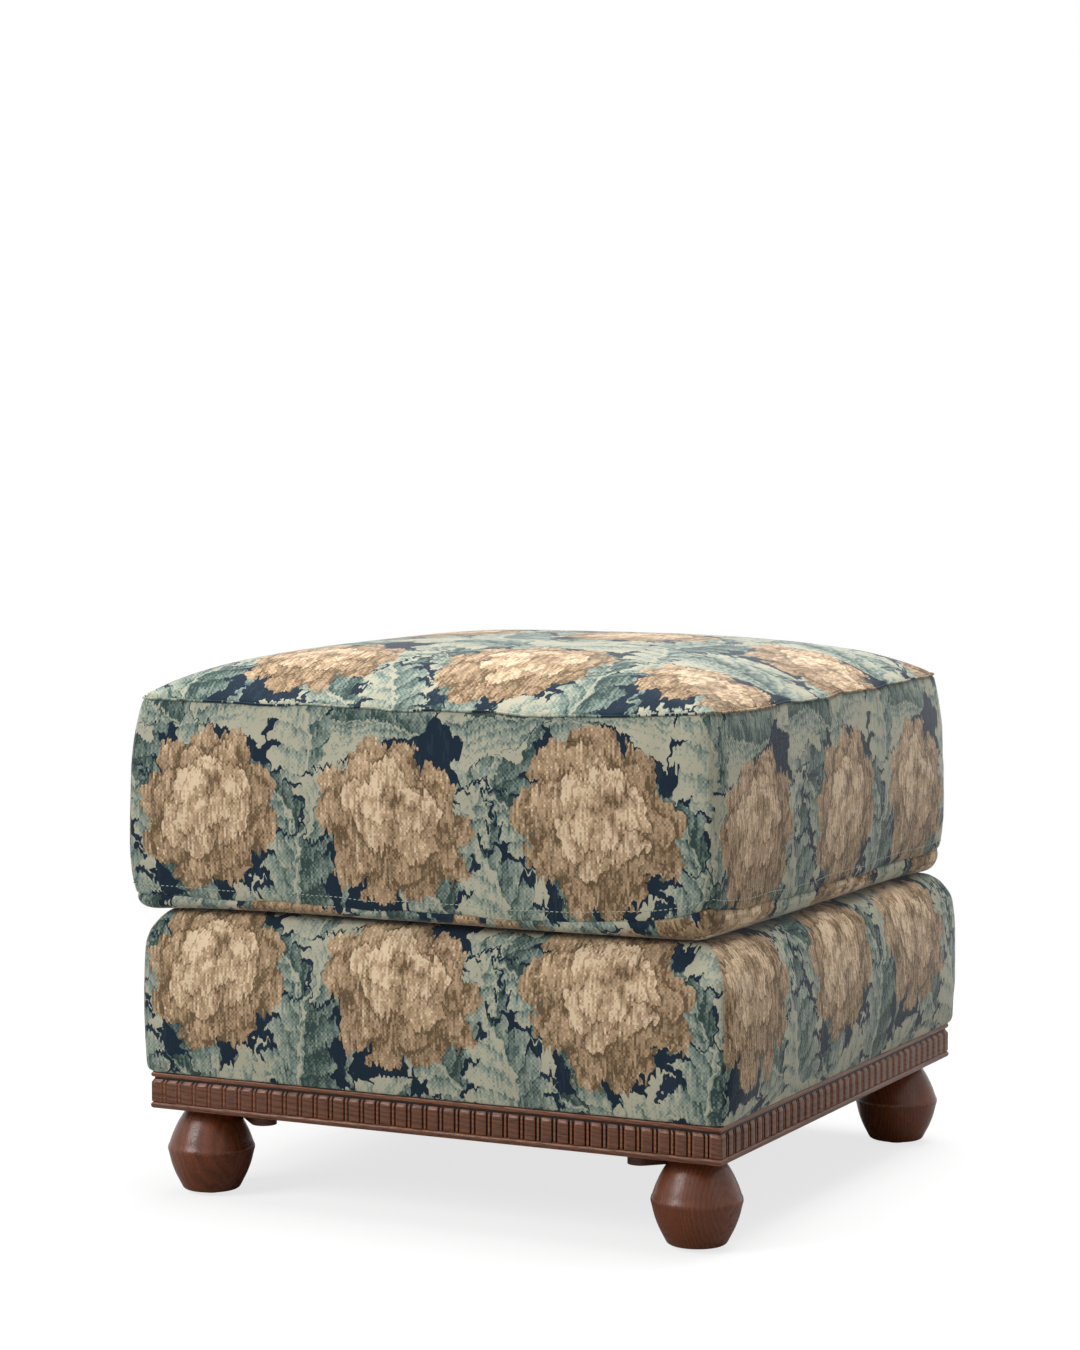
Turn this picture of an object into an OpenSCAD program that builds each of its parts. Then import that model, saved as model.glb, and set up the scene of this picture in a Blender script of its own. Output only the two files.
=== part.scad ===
// Square ottoman: turned bun feet, a carved wooden plinth, a padded
// and covered base on webbing, and a loose box cushion with a zip at the back.
// Millimetres, +Z up, origin on the floor under the middle of the plinth.

/* [Plinth] */
// Width of the plinth, left to right
plinth_w = 540; // [460:5:640]
// Depth of the plinth, front to back
plinth_d = 540; // [460:5:640]
// Height of the plinth rails
rail_h = 32.5; // [29:0.5:42]
// How far the rails reach in from the outer face
rail_w = 62; // [58:1:75]
// Height of the plain bead along the foot of the rails
bead_h = 6; // [4:0.5:8]
// Height of the plain lip along the top of the rails
lip_h = 5; // [3:0.5:8]
// Height of the cove between the carving and the lip
cove_h = 1.5; // [1:0.25:3]
// Depth of the cove behind the outer face
cove_depth = 2.6; // [1.5:0.1:4]
// Width of one carved block
block_w = 9.8; // [8:0.2:14]
// Width of the thin fin between two blocks
fin_w = 2.4; // [1.6:0.2:4]
// Width of the groove on each side of a fin, before it is fitted to the length
groove_w = 1.5; // [1.2:0.1:3]
// Depth of the grooves behind the outer face
groove_depth = 2; // [1:0.1:3]
// How far the blocks stand back from the outer face
block_back = 0.2; // [0:0.1:0.6]
// How far the fins stand back from the outer face
fin_back = 0.7; // [0.2:0.1:0.9]

/* [Feet] */
// Height of the underside of the plinth above the floor
foot_h = 76.5; // [68:0.5:95]
// Largest diameter of a turned foot
foot_d = 76; // [60:1:84]
// Height of the ridge where a foot is widest
foot_ridge_h = 39.3; // [34:0.1:46]
// Diameter of a foot where it meets the plinth
foot_top_d = 39; // [32:1:50]
// Diameter of the flat under a foot
foot_flat_d = 34; // [26:1:40]
// Radius of the rounded edge under a foot
foot_edge_r = 8; // [5:0.5:10]
// Radius of the ridge
foot_ridge_r = 3; // [1.5:0.5:5]
// Distance of a foot's axis from the outer faces of the plinth
foot_inset = 38; // [36:1:42]
// Diameter of a glide
glide_d = 21; // [16:1:24]
// Thickness of a glide
glide_h = 3; // [2:0.5:5]
// Diameter of a glide's nail
nail_d = 2.8; // [2:0.2:3.6]
// Length of a glide's nail above the glide
nail_l = 16; // [10:1:22]

/* [Corner braces] */
// Width of a corner brace under the plinth
brace_w = 22; // [16:1:24]
// Thickness of a corner brace
brace_t = 13; // [8:1:16]
// Distance of a brace's near end from one outer face
brace_near = 41; // [36:1:46]
// Distance of the same end from the other outer face
brace_far = 90; // [88:1:110]

/* [Fasteners] */
// Diameter of the hanger bolts that hold the feet
bolt_d = 8; // [6:1:10]
// Length of a hanger bolt inside the foot
bolt_in_foot = 38; // [28:1:44]
// Length of a hanger bolt inside the corner post
bolt_in_post = 24; // [20:1:30]
// Diameter of an insert nut's body
insert_d = 12; // [11.5:0.5:14]
// Length of an insert nut
insert_l = 18; // [12:1:20]
// Diameter of an insert nut's flange
insert_flange_d = 17; // [15:1:20]
// Thickness of an insert nut's flange
insert_flange_t = 1.2; // [0.8:0.2:2]
// Diameter of the wood screws
screw_d = 4; // [3:0.5:5]
// Diameter of the wood screws' heads
screw_head_d = 8; // [6.5:0.5:9]
// Length of a brace screw
brace_screw_l = 35; // [28:1:40]
// Length of a plinth screw
plinth_screw_l = 55; // [45:1:65]
// Depth of the counterbore over a plinth screw's head
counterbore_l = 12; // [6:1:16]
// Spacing of the two plinth screws on each side
plinth_screw_gap = 240; // [160:10:300]
// Diameter of the dowels
dowel_d = 8; // [6:1:10]
// Length of the dowels
dowel_l = 40; // [30:2:44]
// Height of the lower dowel above the foot of the frame
dowel_low = 30; // [26:1:36]
// Height of the upper dowel above the foot of the frame
dowel_high = 85; // [70:1:95]
// Width of a staple's crown
staple_w = 10; // [8:1:12]
// Length of a staple's legs
staple_leg = 6; // [5:1:8]
// Thickness of staple wire
staple_t = 0.5; // [0.4:0.1:0.8]

/* [Frame] */
// Width of a square corner post
post_w = 50; // [46:1:56]
// Height of the corner posts and the frame panels
frame_h = 115.4; // [105:0.1:130]
// Thickness of the frame panels
panel_t = 18; // [15:1:22]
// Distance of the frame's outer faces behind the plinth's outer faces
frame_in = 17.5; // [14:0.5:20]
// Radius of the eased outer edge of a corner post
post_edge_r = 4; // [2:0.5:6]

/* [Webbing] */
// Width of a strap
strap_w = 50; // [40:1:55]
// Thickness of a strap
strap_t = 1.6; // [1:0.1:2]
// Number of straps each way
strap_count = 4; // [3:1:4]
// Spacing of the straps
strap_pitch = 90; // [80:1:96]
// Height that a strap rises or dips where two cross
weave_rise = 0.9; // [0.9:0.1:1.2]
// Thickness of the hessian over the webbing
hessian_t = 0.8; // [0.5:0.1:1.2]

/* [Base upholstery] */
// Thickness of the tapestry
cover_t = 1.6; // [1.2:0.1:2.2]
// Height of the deck above the foot of the frame
deck_rise = 142.8; // [136:0.1:160]
// How far the base swells beyond the outer face of the plinth
base_bulge = 8.3; // [4:0.1:12]
// How much less it swells at the ends of its flat stretch
base_bulge_drop = 2.8; // [1:0.1:4]
// Width of the rounded shoulder under the cushion
shoulder_w = 30; // [22:1:36]
// Height of the rounded shoulder
shoulder_h = 33; // [24:1:40]
// Width of the rounding where the cover tucks in over the plinth
tuck_w = 6.5; // [5:0.5:9]
// Height of that rounding
tuck_h = 11; // [7:0.5:14]
// Width of the cover's flange under the frame, from the plinth's outer face
flange_w = 30; // [28:1:32]
// Width of the tapestry border on the deck, from the plinth's outer face
border_w = 60; // [50:1:80]
// Corner radius of the base in plan, at the plinth's outer face
base_corner_r = 7; // [4:1:14]
// Thickness of the dust cover under the plinth
dust_cover_t = 0.6; // [0.4:0.1:1]
// Distance of the dust cover's edge from the plinth's outer faces
dust_cover_in = 47; // [45:1:54]

/* [Cushion] */
// Width of the cushion between its side seams, at the corners
cushion_w = 537; // [450:1:640]
// Depth of the cushion between its seams, at the corners
cushion_d = 537; // [450:1:640]
// How far the loose cushion lies to the right of the plinth's middle
cushion_shift_x = -8; // [-9:1:9]
// How far the loose cushion lies behind the plinth's middle
cushion_shift_y = -1; // [-6:1:6]
// Height of the bottom seam above the deck
bottom_seam_rise = 16.6; // [12:0.1:22]
// Height of the boxing between its seams
boxing_h = 168; // [120:1:220]
// How far the boxing swells beyond its seams
boxing_bulge = 5.5; // [2:0.5:10]
// How far a side seam bows out between its corners
side_bow = 3; // [0:0.5:6]
// Height of the crown over the top seam
crown_h = 42; // [25:1:60]
// Power that sets how flat the middle of the crown is
crown_flat = 3.35; // [2:0.05:5]
// Power that sets how steeply the crown leaves its seam
crown_edge = 0.715; // [0.5:0.005:1]
// Share of its half width to which the crown rounds off inwards
crown_round = 0.31; // [0.1:0.01:0.6]
// Width of the rounding under the cushion
under_w = 30; // [20:1:40]
// Corner radius of the cushion in plan, at its seams
cushion_corner_r = 16; // [10:1:26]

/* [Zip] */
// Width of the zip opening in the back boxing
zip_gap = 18; // [16:1:24]
// Height of the flat band of boxing that holds the zip
zip_band = 40; // [36:1:60]
// Width of each zip tape
zip_tape_w = 19; // [14:1:22]
// Thickness of the zip tapes
zip_tape_t = 0.8; // [0.5:0.1:1.2]
// Height of the closed coil
zip_coil_w = 4.8; // [4:0.2:6]
// Thickness of the closed coil
zip_coil_t = 2.2; // [1.8:0.1:2.6]
// Length of each end stop
zip_stop_l = 3; // [2:0.5:5]
// Length of the slider
slider_l = 12; // [9:1:15]
// Height of the slider
slider_w = 9; // [8:0.5:11]
// Thickness of the slider's plate
slider_t = 1.2; // [0.8:0.1:1.8]
// Diameter of the bail on the slider
bail_d = 1.6; // [1.2:0.1:2]
// Length of the pull below the bail
pull_l = 24; // [16:1:30]
// Width of the pull
pull_w = 7; // [5:0.5:9]
// Thickness of the pull
pull_t = 1.2; // [0.8:0.1:1.6]
// Outer diameter of the pull's eye
pull_eye_d = 3.8; // [3.4:0.1:4.4]

/* [Clearances] */
// Gap round a driven pin, nail, screw or bolt
pin_clear = 0.05; // [0.02:0.01:0.1]
// Gap round a bolt that passes through the plinth
bolt_clear = 0.3; // [0.2:0.1:0.6]
// Gap between a soft filling and what it meets
soft_gap = 0.2; // [0.1:0.05:0.4]
// Gap between stacked sheets
sheet_gap = 0.1; // [0.05:0.05:0.2]
// Running gap between the zip's moving pieces
zip_clear = 0.3; // [0.2:0.05:0.4]
// Running gap between the bail and the pull's eye
eye_clear = 0.08; // [0.05:0.01:0.1]

/* [Hidden] */
$fn = 48;

oak = "#5a3423";
pine = "#c9a878";
beech = "#d3b08a";
steel = "#9a9c9e";
nylon = "#2a2a2c";
tapestry = "#7f8a78";
tapestry_dark = "#2c3440";
linen = "#8a8271";
jute = "#a58a5c";
foam = "#e6dcb4";
fibre = "#f2f1ec";
cambric = "#202124";
brass = "#8f7440";

// Sides are numbered front 0, right 1, back 2, left 3
front = 0;
right = 1;
back = 2;
left = 3;

rail_top = foot_h + rail_h;
frame_foot = rail_top + cover_t;
frame_top = frame_foot + frame_h;
deck_z = frame_foot + deck_rise;
seam_low = deck_z + bottom_seam_rise;
seam_high = seam_low + boxing_h;
zip_z = (seam_low + seam_high) / 2;

carve_low = bead_h;
carve_high = rail_h - lip_h - cove_h;
foot_top_r = foot_top_d / 2;
foot_x = plinth_w / 2 - foot_inset;
foot_y = plinth_d / 2 - foot_inset;
bolt_r = bolt_d / 2;
insert_r = insert_d / 2;
screw_r = screw_d / 2;
dowel_r = dowel_d / 2;
nail_r = nail_d / 2;
bail_r = bail_d / 2;
eye_r = pull_eye_d / 2;
brace_z = foot_h - brace_t;
plinth_screw_z = foot_h + counterbore_l;
panel_mid = frame_in + panel_t / 2;

// The straps end on the frame's top and weave about their middle height
strap_mid = frame_top + strap_t / 2;
hessian_z = strap_mid + weave_rise + strap_t / 2 + sheet_gap;
deck_foam_z = hessian_z + hessian_t + sheet_gap;
deck_cloth_z = deck_z - cover_t;
// The deck foam ends just inside the shoulder, and the side foam wraps up to it
deck_foam_in = shoulder_w - base_bulge + base_bulge_drop + 1;
strap_flat = 2;

// Plan stations: steps round half a corner, and steps along a straight side
arc_steps = 3;
side_steps = 2;
// Least corner radius, so that a mitre stays a clean fold
least_r = 0.6;
// Angle step of the base's shoulder and of its tuck, for the cloth and for the foam under it
cloth_turn = 15;
foam_turn = 2 * cloth_turn;

zip_half = cushion_w / 2 - cushion_corner_r;
zip_face = cushion_d / 2 + boxing_bulge;
tape_face = zip_face - cover_t - sheet_gap;
tape_back = tape_face - zip_tape_t;
coil_face = tape_back + zip_coil_t;
coil_half = zip_half - zip_stop_l - zip_clear;
slider_back = coil_face + zip_clear;
slider_face = slider_back + slider_t;
slider_home = -(coil_half - slider_l / 2);
bail_y = slider_face + zip_clear + eye_r;

// Length of a side and the distance of its outer face from the middle
function side_len(k) = k % 2 == 0 ? plinth_w : plinth_d;
function side_half(k) = (k % 2 == 0 ? plinth_d : plinth_w) / 2;
function cushion_len(k) = k % 2 == 0 ? cushion_w : cushion_d;
function cushion_half(k) = (k % 2 == 0 ? cushion_d : cushion_w) / 2;
// The zip needs a straight back
function bow(k) = k == back ? 0 : side_bow;

function turned(p, k) = [
    p.x * cos(90 * k) - p.y * sin(90 * k),
    p.x * sin(90 * k) + p.y * cos(90 * k)
];

function arc(c, r, a0, a1, n) = [
    for (i = [0:n]) c + r * [cos(a0 + (a1 - a0) * i / n), sin(a0 + (a1 - a0) * i / n)]
];

// One side of a rounded rectangle in plan, from mitre to mitre, before it is turned.
// u and v are the half length and the half distance of the side, r its corner radius.
function side_line(u, v, r, out) = let (cu = u - r, cv = v - r) concat(
    [for (i = [0:arc_steps]) let (a = 45 + 45 * i / arc_steps)
        [-cu - r * cos(a), -cv - r * sin(a)]],
    [for (i = [1:side_steps - 1]) let (t = 2 * i / side_steps - 1)
        [cu * t, -v - out * (1 - t * t)]],
    [for (i = [arc_steps:-1:0]) let (a = 45 + 45 * i / arc_steps)
        [cu + r * cos(a), -cv - r * sin(a)]]
);

// A side's line at the height z, turned to side k and moved
function side_at(k, u, v, r, out, z, shift) = [
    for (p = side_line(u, v, r, out)) let (q = turned(p, k)) [q.x + shift.x, q.y + shift.y, z]
];

// A closed ring of four such lines, anticlockwise
function ring_at(w, d, r, out, z, shift) = [
    for (k = [0:3])
        let (line = side_at(k, (k % 2 == 0 ? w : d), (k % 2 == 0 ? d : w), r,
            k == back ? 0 : out, z, shift))
        for (i = [0:len(line) - 2]) line[i]
];

// Two triangles between four corners, which run clockwise seen from outside
function quad(a, b, c, d) = [[a, b, c], [a, c, d]];

// A solid between an outer and an inner net with the same rows and columns.
// The outer net's rows run down the outside, its columns to the right.
module between(outer, inner) {
    rows = len(outer);
    cols = len(outer[0]);
    n = rows * cols;
    points = concat([for (row = outer) each row], [for (row = inner) each row]);
    faces = concat(
        [for (j = [0:rows - 2]) for (i = [0:cols - 2])
            let (a = j * cols + i) each quad(a, a + 1, a + cols + 1, a + cols)],
        [for (j = [0:rows - 2]) for (i = [0:cols - 2])
            let (a = n + j * cols + i) each quad(a, a + cols, a + cols + 1, a + 1)],
        [for (i = [0:cols - 2]) each quad(i, n + i, n + i + 1, i + 1)],
        [for (i = [0:cols - 2]) let (a = (rows - 1) * cols + i)
            each quad(a, a + 1, n + a + 1, n + a)],
        [for (j = [0:rows - 2]) let (a = j * cols) each quad(a, a + cols, n + a + cols, n + a)],
        [for (j = [0:rows - 2]) let (a = j * cols + cols - 1)
            each quad(a, n + a, n + a + cols, a + cols)]
    );
    polyhedron(points, faces);
}

// A solid that rings run round, from a middle point low down to one high up
module rings(list, low, high) {
    n = len(list[0]);
    m = len(list);
    points = concat([for (ring = list) each ring], [low, high]);
    faces = concat(
        [for (j = [0:m - 2]) for (i = [0:n - 1])
            let (a = j * n, b = (i + 1) % n)
            each quad(a + i, a + n + i, a + n + b, a + b)],
        [for (i = [0:n - 1]) [m * n, i, (i + 1) % n]],
        [for (i = [0:n - 1]) [m * n + 1, (m - 1) * n + (i + 1) % n, (m - 1) * n + i]]
    );
    polyhedron(points, faces);
}

// Places children on side k: x runs along the side, y runs inwards from its outer face
module on_side(k, half) {
    rotate([0, 0, 90 * k]) translate([0, -half, 0]) children();
}

module at_feet() {
    for (x = [-foot_x, foot_x]) for (y = [-foot_y, foot_y]) translate([x, y, 0]) children();
}

// Countersunk screw with its head at z = 0, pointing up
module screw(l) {
    head_h = (screw_head_d - screw_d) / 2;
    cylinder(h = l - screw_d, r = screw_r);
    cylinder(h = head_h, r1 = screw_head_d / 2, r2 = screw_r);
    translate([0, 0, l - screw_d]) cylinder(h = screw_d, r1 = screw_r, r2 = screw_r / 5);
}

module screw_bore(l) {
    cylinder(h = l, r = screw_r + pin_clear);
}

// Staple with the top of its crown at z = 0 and its legs pointing down
module staple() {
    translate([-staple_w / 2, -staple_t, -staple_t]) cube([staple_w, 2 * staple_t, staple_t]);
    for (x = [-staple_w / 2, staple_w / 2 - staple_t]) {
        translate([x, -staple_t, -staple_leg]) cube([staple_t, 2 * staple_t, staple_leg]);
    }
}

// Turned foot, a double cone with a soft ridge and a rounded lower edge
module foot(sx, sy) {
    flat_r = foot_flat_d / 2;
    ridge = [foot_d / 2 - foot_ridge_r, foot_ridge_h];
    color(oak) translate([sx * foot_x, sy * foot_y, 0]) difference() {
        rotate_extrude() polygon(concat(
            [[0, glide_h]],
            arc([flat_r, glide_h + foot_edge_r], foot_edge_r, -90, -20, 4),
            arc(ridge, foot_ridge_r, -25, 30, 3),
            [[foot_top_r, foot_h], [0, foot_h]]
        ));
        translate([0, 0, foot_h - bolt_in_foot - pin_clear]) {
            cylinder(h = bolt_in_foot + 1, r = bolt_r + pin_clear);
        }
        cylinder(h = glide_h + nail_l + pin_clear, r = nail_r + pin_clear);
    }
}

module foot_glides() {
    chamfer = glide_h / 3;
    color(nylon) at_feet() {
        rotate_extrude() polygon([
            [0, 0], [glide_d / 2 - chamfer, 0], [glide_d / 2, chamfer], [glide_d / 2, glide_h],
            [nail_r, glide_h], [nail_r, glide_h + nail_l - nail_d], [0, glide_h + nail_l]
        ]);
    }
}

module hanger_bolts() {
    color(steel) at_feet() translate([0, 0, foot_h - bolt_in_foot]) {
        rotate_extrude() polygon([
            [0, 0], [bolt_r, bolt_r],
            [bolt_r, bolt_in_foot + rail_h + cover_t + bolt_in_post],
            [0, bolt_in_foot + rail_h + cover_t + bolt_in_post]
        ]);
    }
}

module insert_nuts() {
    color(brass) at_feet() translate([0, 0, frame_foot]) difference() {
        union() {
            cylinder(h = insert_l, r = insert_r);
            cylinder(h = insert_flange_t, r = insert_flange_d / 2);
        }
        translate([0, 0, -1]) cylinder(h = insert_l + 2, r = bolt_r + pin_clear);
    }
}

// Plan of a mitred rail whose face stands back by the depth given
module rail_plan(l, depth) {
    polygon([
        [-l / 2 + depth, depth], [l / 2 - depth, depth],
        [l / 2 - rail_w, rail_w], [-l / 2 + rail_w, rail_w]
    ]);
}

// Plan of the carved band: a block at each corner, and a fin between each two blocks
module carved_plan(l) {
    count = round((l + fin_w + 2 * groove_w) / (block_w + fin_w + 2 * groove_w));
    pitch = (l - block_w) / (count - 1);
    fin_at = (block_w + pitch - fin_w) / 2;
    teeth = [for (i = [0:count - 2]) let (x = -l / 2 + i * pitch) each [
        [x + block_w, block_back], [x + block_w, groove_depth],
        [x + fin_at, groove_depth], [x + fin_at, fin_back],
        [x + fin_at + fin_w, fin_back], [x + fin_at + fin_w, groove_depth],
        [x + pitch, groove_depth], [x + pitch, block_back]
    ]];
    polygon(concat(
        [[-l / 2 + block_back, block_back]], teeth, [[l / 2 - block_back, block_back]],
        [[l / 2 - rail_w, rail_w], [-l / 2 + rail_w, rail_w]]
    ));
}

module plinth_rail(k) {
    l = side_len(k);
    color(oak) on_side(k, side_half(k)) translate([0, 0, foot_h]) difference() {
        union() {
            linear_extrude(carve_low) rail_plan(l, 0);
            translate([0, 0, carve_low]) linear_extrude(carve_high - carve_low) carved_plan(l);
            translate([0, 0, carve_high]) linear_extrude(cove_h) rail_plan(l, cove_depth);
            translate([0, 0, carve_high + cove_h]) linear_extrude(lip_h) rail_plan(l, 0);
        }
        for (x = [-1, 1]) {
            translate([x * (l / 2 - foot_inset), foot_inset, -1]) {
                cylinder(h = rail_h + 2, r = bolt_r + bolt_clear);
            }
            translate([x * plinth_screw_gap / 2, panel_mid, -1]) screw_bore(rail_h + 2);
            translate([x * plinth_screw_gap / 2, panel_mid, -1]) {
                cylinder(h = counterbore_l + 1, r = screw_head_d / 2 + bolt_clear);
            }
            translate([x * plinth_screw_gap / 2, panel_mid, counterbore_l]) {
                head_h = (screw_head_d - screw_d) / 2;
                cylinder(h = head_h, r1 = screw_head_d / 2 + pin_clear, r2 = screw_r + pin_clear);
            }
            translate([x * (l / 2 - brace_far), brace_near, -1]) {
                screw_bore(brace_screw_l - brace_t + 1.5);
            }
        }
    }
}

// Diagonal board with round ends, screwed up under the plinth behind a foot
module corner_brace(sx, sy) {
    reach = brace_far - brace_near;
    color(oak) mirror([sx < 0 ? 1 : 0, 0, 0]) mirror([0, sy > 0 ? 1 : 0, 0]) {
        translate([plinth_w / 2 - brace_far, -plinth_d / 2 + brace_near, brace_z]) difference() {
            rotate([0, 0, 45]) linear_extrude(brace_t) polygon(concat(
                arc([0, 0], brace_w / 2, 90, 270, 12),
                arc([reach * sqrt(2), 0], brace_w / 2, -90, 90, 12)
            ));
            for (s = [0, reach]) translate([s, s, 0]) {
                head_h = (screw_head_d - screw_d) / 2;
                translate([0, 0, -1]) screw_bore(brace_t + 2);
                cylinder(h = head_h, r1 = screw_head_d / 2 + pin_clear, r2 = screw_r + pin_clear);
            }
        }
    }
}

module brace_screws() {
    color(steel) for (sx = [0, 1]) for (sy = [0, 1]) mirror([sx, 0, 0]) mirror([0, sy, 0]) {
        for (p = [[brace_far, brace_near], [brace_near, brace_far]]) {
            translate([plinth_w / 2 - p.x, -plinth_d / 2 + p.y, brace_z]) screw(brace_screw_l);
        }
    }
}

module plinth_screws() {
    color(steel) for (k = [0:3]) on_side(k, side_half(k)) for (x = [-1, 1]) {
        translate([x * plinth_screw_gap / 2, panel_mid, plinth_screw_z]) screw(plinth_screw_l);
    }
}

// Square post in the corner of the frame, bored for its insert nut and its dowels
module corner_post(sx, sy) {
    px = plinth_w / 2 - frame_in - post_w;
    py = plinth_d / 2 - frame_in - post_w;
    nut_x = foot_x - px;
    nut_y = foot_y - py;
    color(pine) mirror([sx < 0 ? 1 : 0, 0, 0]) mirror([0, sy < 0 ? 1 : 0, 0]) {
        translate([px, py, frame_foot]) difference() {
            linear_extrude(frame_h) {
                square([post_w - post_edge_r, post_w]);
                square([post_w, post_w - post_edge_r]);
                translate([post_w - post_edge_r, post_w - post_edge_r]) circle(r = post_edge_r);
            }
            translate([nut_x, nut_y, -1]) {
                cylinder(h = insert_flange_t + pin_clear + 1, r = insert_flange_d / 2 + pin_clear);
                cylinder(h = insert_l + pin_clear + 1, r = insert_r + pin_clear);
                cylinder(h = bolt_in_post + 3, r = bolt_r + bolt_clear);
            }
            for (z = [dowel_low, dowel_high]) {
                translate([-1, post_w - panel_t / 2, z]) rotate([0, 90, 0]) {
                    cylinder(h = dowel_l / 2 + 1 + pin_clear, r = dowel_r + pin_clear);
                }
                translate([post_w - panel_t / 2, -1, z]) rotate([-90, 0, 0]) {
                    cylinder(h = dowel_l / 2 + 1 + pin_clear, r = dowel_r + pin_clear);
                }
            }
        }
    }
}

function panel_len(k) = side_len(k) - 2 * (frame_in + post_w);

module frame_panel(k) {
    l = panel_len(k);
    color(pine) on_side(k, side_half(k)) translate([0, frame_in, frame_foot]) difference() {
        translate([-l / 2, 0, 0]) cube([l, panel_t, frame_h]);
        for (z = [dowel_low, dowel_high]) for (s = [-1, 1]) {
            translate([s * l / 2, panel_t / 2, z]) rotate([0, 90, 0]) {
                cylinder(h = dowel_l + 2 * pin_clear, r = dowel_r + pin_clear, center = true);
            }
        }
        for (x = [-1, 1]) translate([x * plinth_screw_gap / 2, panel_t / 2, -1]) {
            screw_bore(plinth_screw_z + plinth_screw_l - frame_foot + 1.2);
        }
    }
}

module frame_dowels() {
    color(beech) for (k = [0:3]) on_side(k, side_half(k)) {
        for (z = [dowel_low, dowel_high]) for (s = [-1, 1]) {
            translate([s * panel_len(k) / 2, panel_mid, frame_foot + z]) rotate([0, 90, 0]) {
                cylinder(h = dowel_l, r = dowel_r, center = true);
            }
        }
    }
}

function strap_at(i) = (i - (strap_count - 1) / 2) * strap_pitch;

// Side view of a strap: flat on the frame at both ends, over and under between them
module strap_side(half, first) {
    inner = half - panel_t - strap_flat;
    middle = concat(
        [[-half, 0], [-inner, 0]],
        [for (i = [0:strap_count - 1]) for (s = [-1, 1])
            [strap_at(i) + s * (strap_w / 2 + strap_flat),
                ((i + first) % 2 == 0 ? 1 : -1) * weave_rise]],
        [[inner, 0], [half, 0]]
    );
    count = len(middle);
    polygon(concat(
        [for (p = middle) [p.x, p.y + strap_t / 2]],
        [for (i = [count - 1:-1:0]) [middle[i].x, middle[i].y - strap_t / 2]]
    ));
}

module straps(half, parity) {
    for (i = [0:strap_count - 1]) {
        translate([0, strap_at(i) + strap_w / 2, strap_mid]) rotate([90, 0, 0]) {
            linear_extrude(strap_w) strap_side(half, i + parity);
        }
    }
}

module webbing_lengthwise() {
    color(jute) straps(plinth_w / 2 - frame_in, 0);
}

module webbing_crosswise() {
    color(jute) rotate([0, 0, 90]) straps(plinth_d / 2 - frame_in, strap_count % 2);
}

module webbing_staples() {
    color(steel) for (k = [0:3]) on_side(k, side_half(k)) for (i = [0:strap_count - 1]) {
        for (x = [-1, 1]) {
            translate([strap_at(i) + x * strap_w / 4, panel_mid, frame_top + strap_t + staple_t]) {
                staple();
            }
        }
    }
}

module deck_hessian() {
    edge = 2 * (frame_in + strap_flat);
    color(jute) translate([0, 0, hessian_z + hessian_t / 2]) {
        cube([plinth_w - edge, plinth_d - edge, hessian_t], center = true);
    }
}

module deck_foam() {
    edge = 2 * (deck_foam_in + soft_gap);
    h = deck_cloth_z - sheet_gap - deck_foam_z;
    color(foam) translate([0, 0, deck_foam_z + h / 2]) {
        cube([plinth_w - edge, plinth_d - edge, h], center = true);
    }
}

// Section of the base upholstery, as distance out from the plinth's face and height.
// t is the distance in from the outside of the cloth and turn the angle step.
function base_section(t, turn) =
    let (side = base_bulge - base_bulge_drop)
    let (top = deck_z - shoulder_h, low = rail_top + tuck_h, mid = (top + low) / 2)
    let (belly = function(z) side + base_bulge_drop * (1 - pow((z - mid) / (top - mid), 2)) - t)
    concat(
        [for (a = [90:-turn:0.1])
            [side - shoulder_w + (shoulder_w - t) * cos(a), top + (shoulder_h - t) * sin(a)]],
        [for (f = [0:0.25:1]) let (z = top + (low - top) * f) [belly(z), z]],
        [for (a = [-turn:-turn:-90.1])
            [side - tuck_w + (tuck_w - t) * cos(a), low + (tuck_h - t) * sin(a)]]
    );

function base_row(k, d, z) = side_at(k, side_len(k) / 2 + d, side_half(k) + d,
    max(least_r, base_corner_r + d), 0, z, [0, 0]);

module base_cover(k) {
    outer = concat([[-border_w, deck_z]], base_section(0, cloth_turn), [[-flange_w, rail_top]]);
    inner = concat([[-border_w, deck_z - cover_t]], base_section(cover_t, cloth_turn),
        [[-flange_w, frame_foot]]);
    color(tapestry) between(
        [for (p = outer) base_row(k, p[0], p[1])],
        [for (p = inner) base_row(k, p[0], p[1])]
    );
}

// Foam on the face of the frame, wrapped over its upper edge as far as the deck foam
module base_foam(k) {
    t = cover_t + soft_gap;
    low = frame_foot + soft_gap;
    face = -frame_in + soft_gap;
    step = deck_foam_z + soft_gap;
    outer = concat([[-deck_foam_in, deck_z - t]],
        [for (p = base_section(t, foam_turn)) [p[0], max(p[1], low)]]);
    last = len(outer) - 1;
    turns = round(90 / foam_turn);
    inner = [for (i = [0:last])
        i <= turns ? [-deck_foam_in + (face + deck_foam_in) * i / turns, step] :
        [face, step + (low - step) * (i - turns) / (last - turns)]];
    color(foam) between(
        [for (p = outer) base_row(k, p[0], p[1])],
        [for (p = inner) base_row(k, p[0], p[1])]
    );
}

module cover_staples() {
    each_side = 6;
    color(steel) for (k = [0:3]) on_side(k, side_half(k)) for (i = [0:each_side - 1]) {
        x = (i - (each_side - 1) / 2) * panel_len(k) / each_side;
        translate([x, panel_mid - staple_t * 4, rail_top + cover_t / 4]) {
            mirror([0, 0, 1]) staple();
        }
    }
}

module deck_cloth() {
    color(linen) translate([0, 0, deck_cloth_z + cover_t / 2]) {
        cube([plinth_w - 2 * border_w, plinth_d - 2 * border_w, cover_t], center = true);
    }
}

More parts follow.
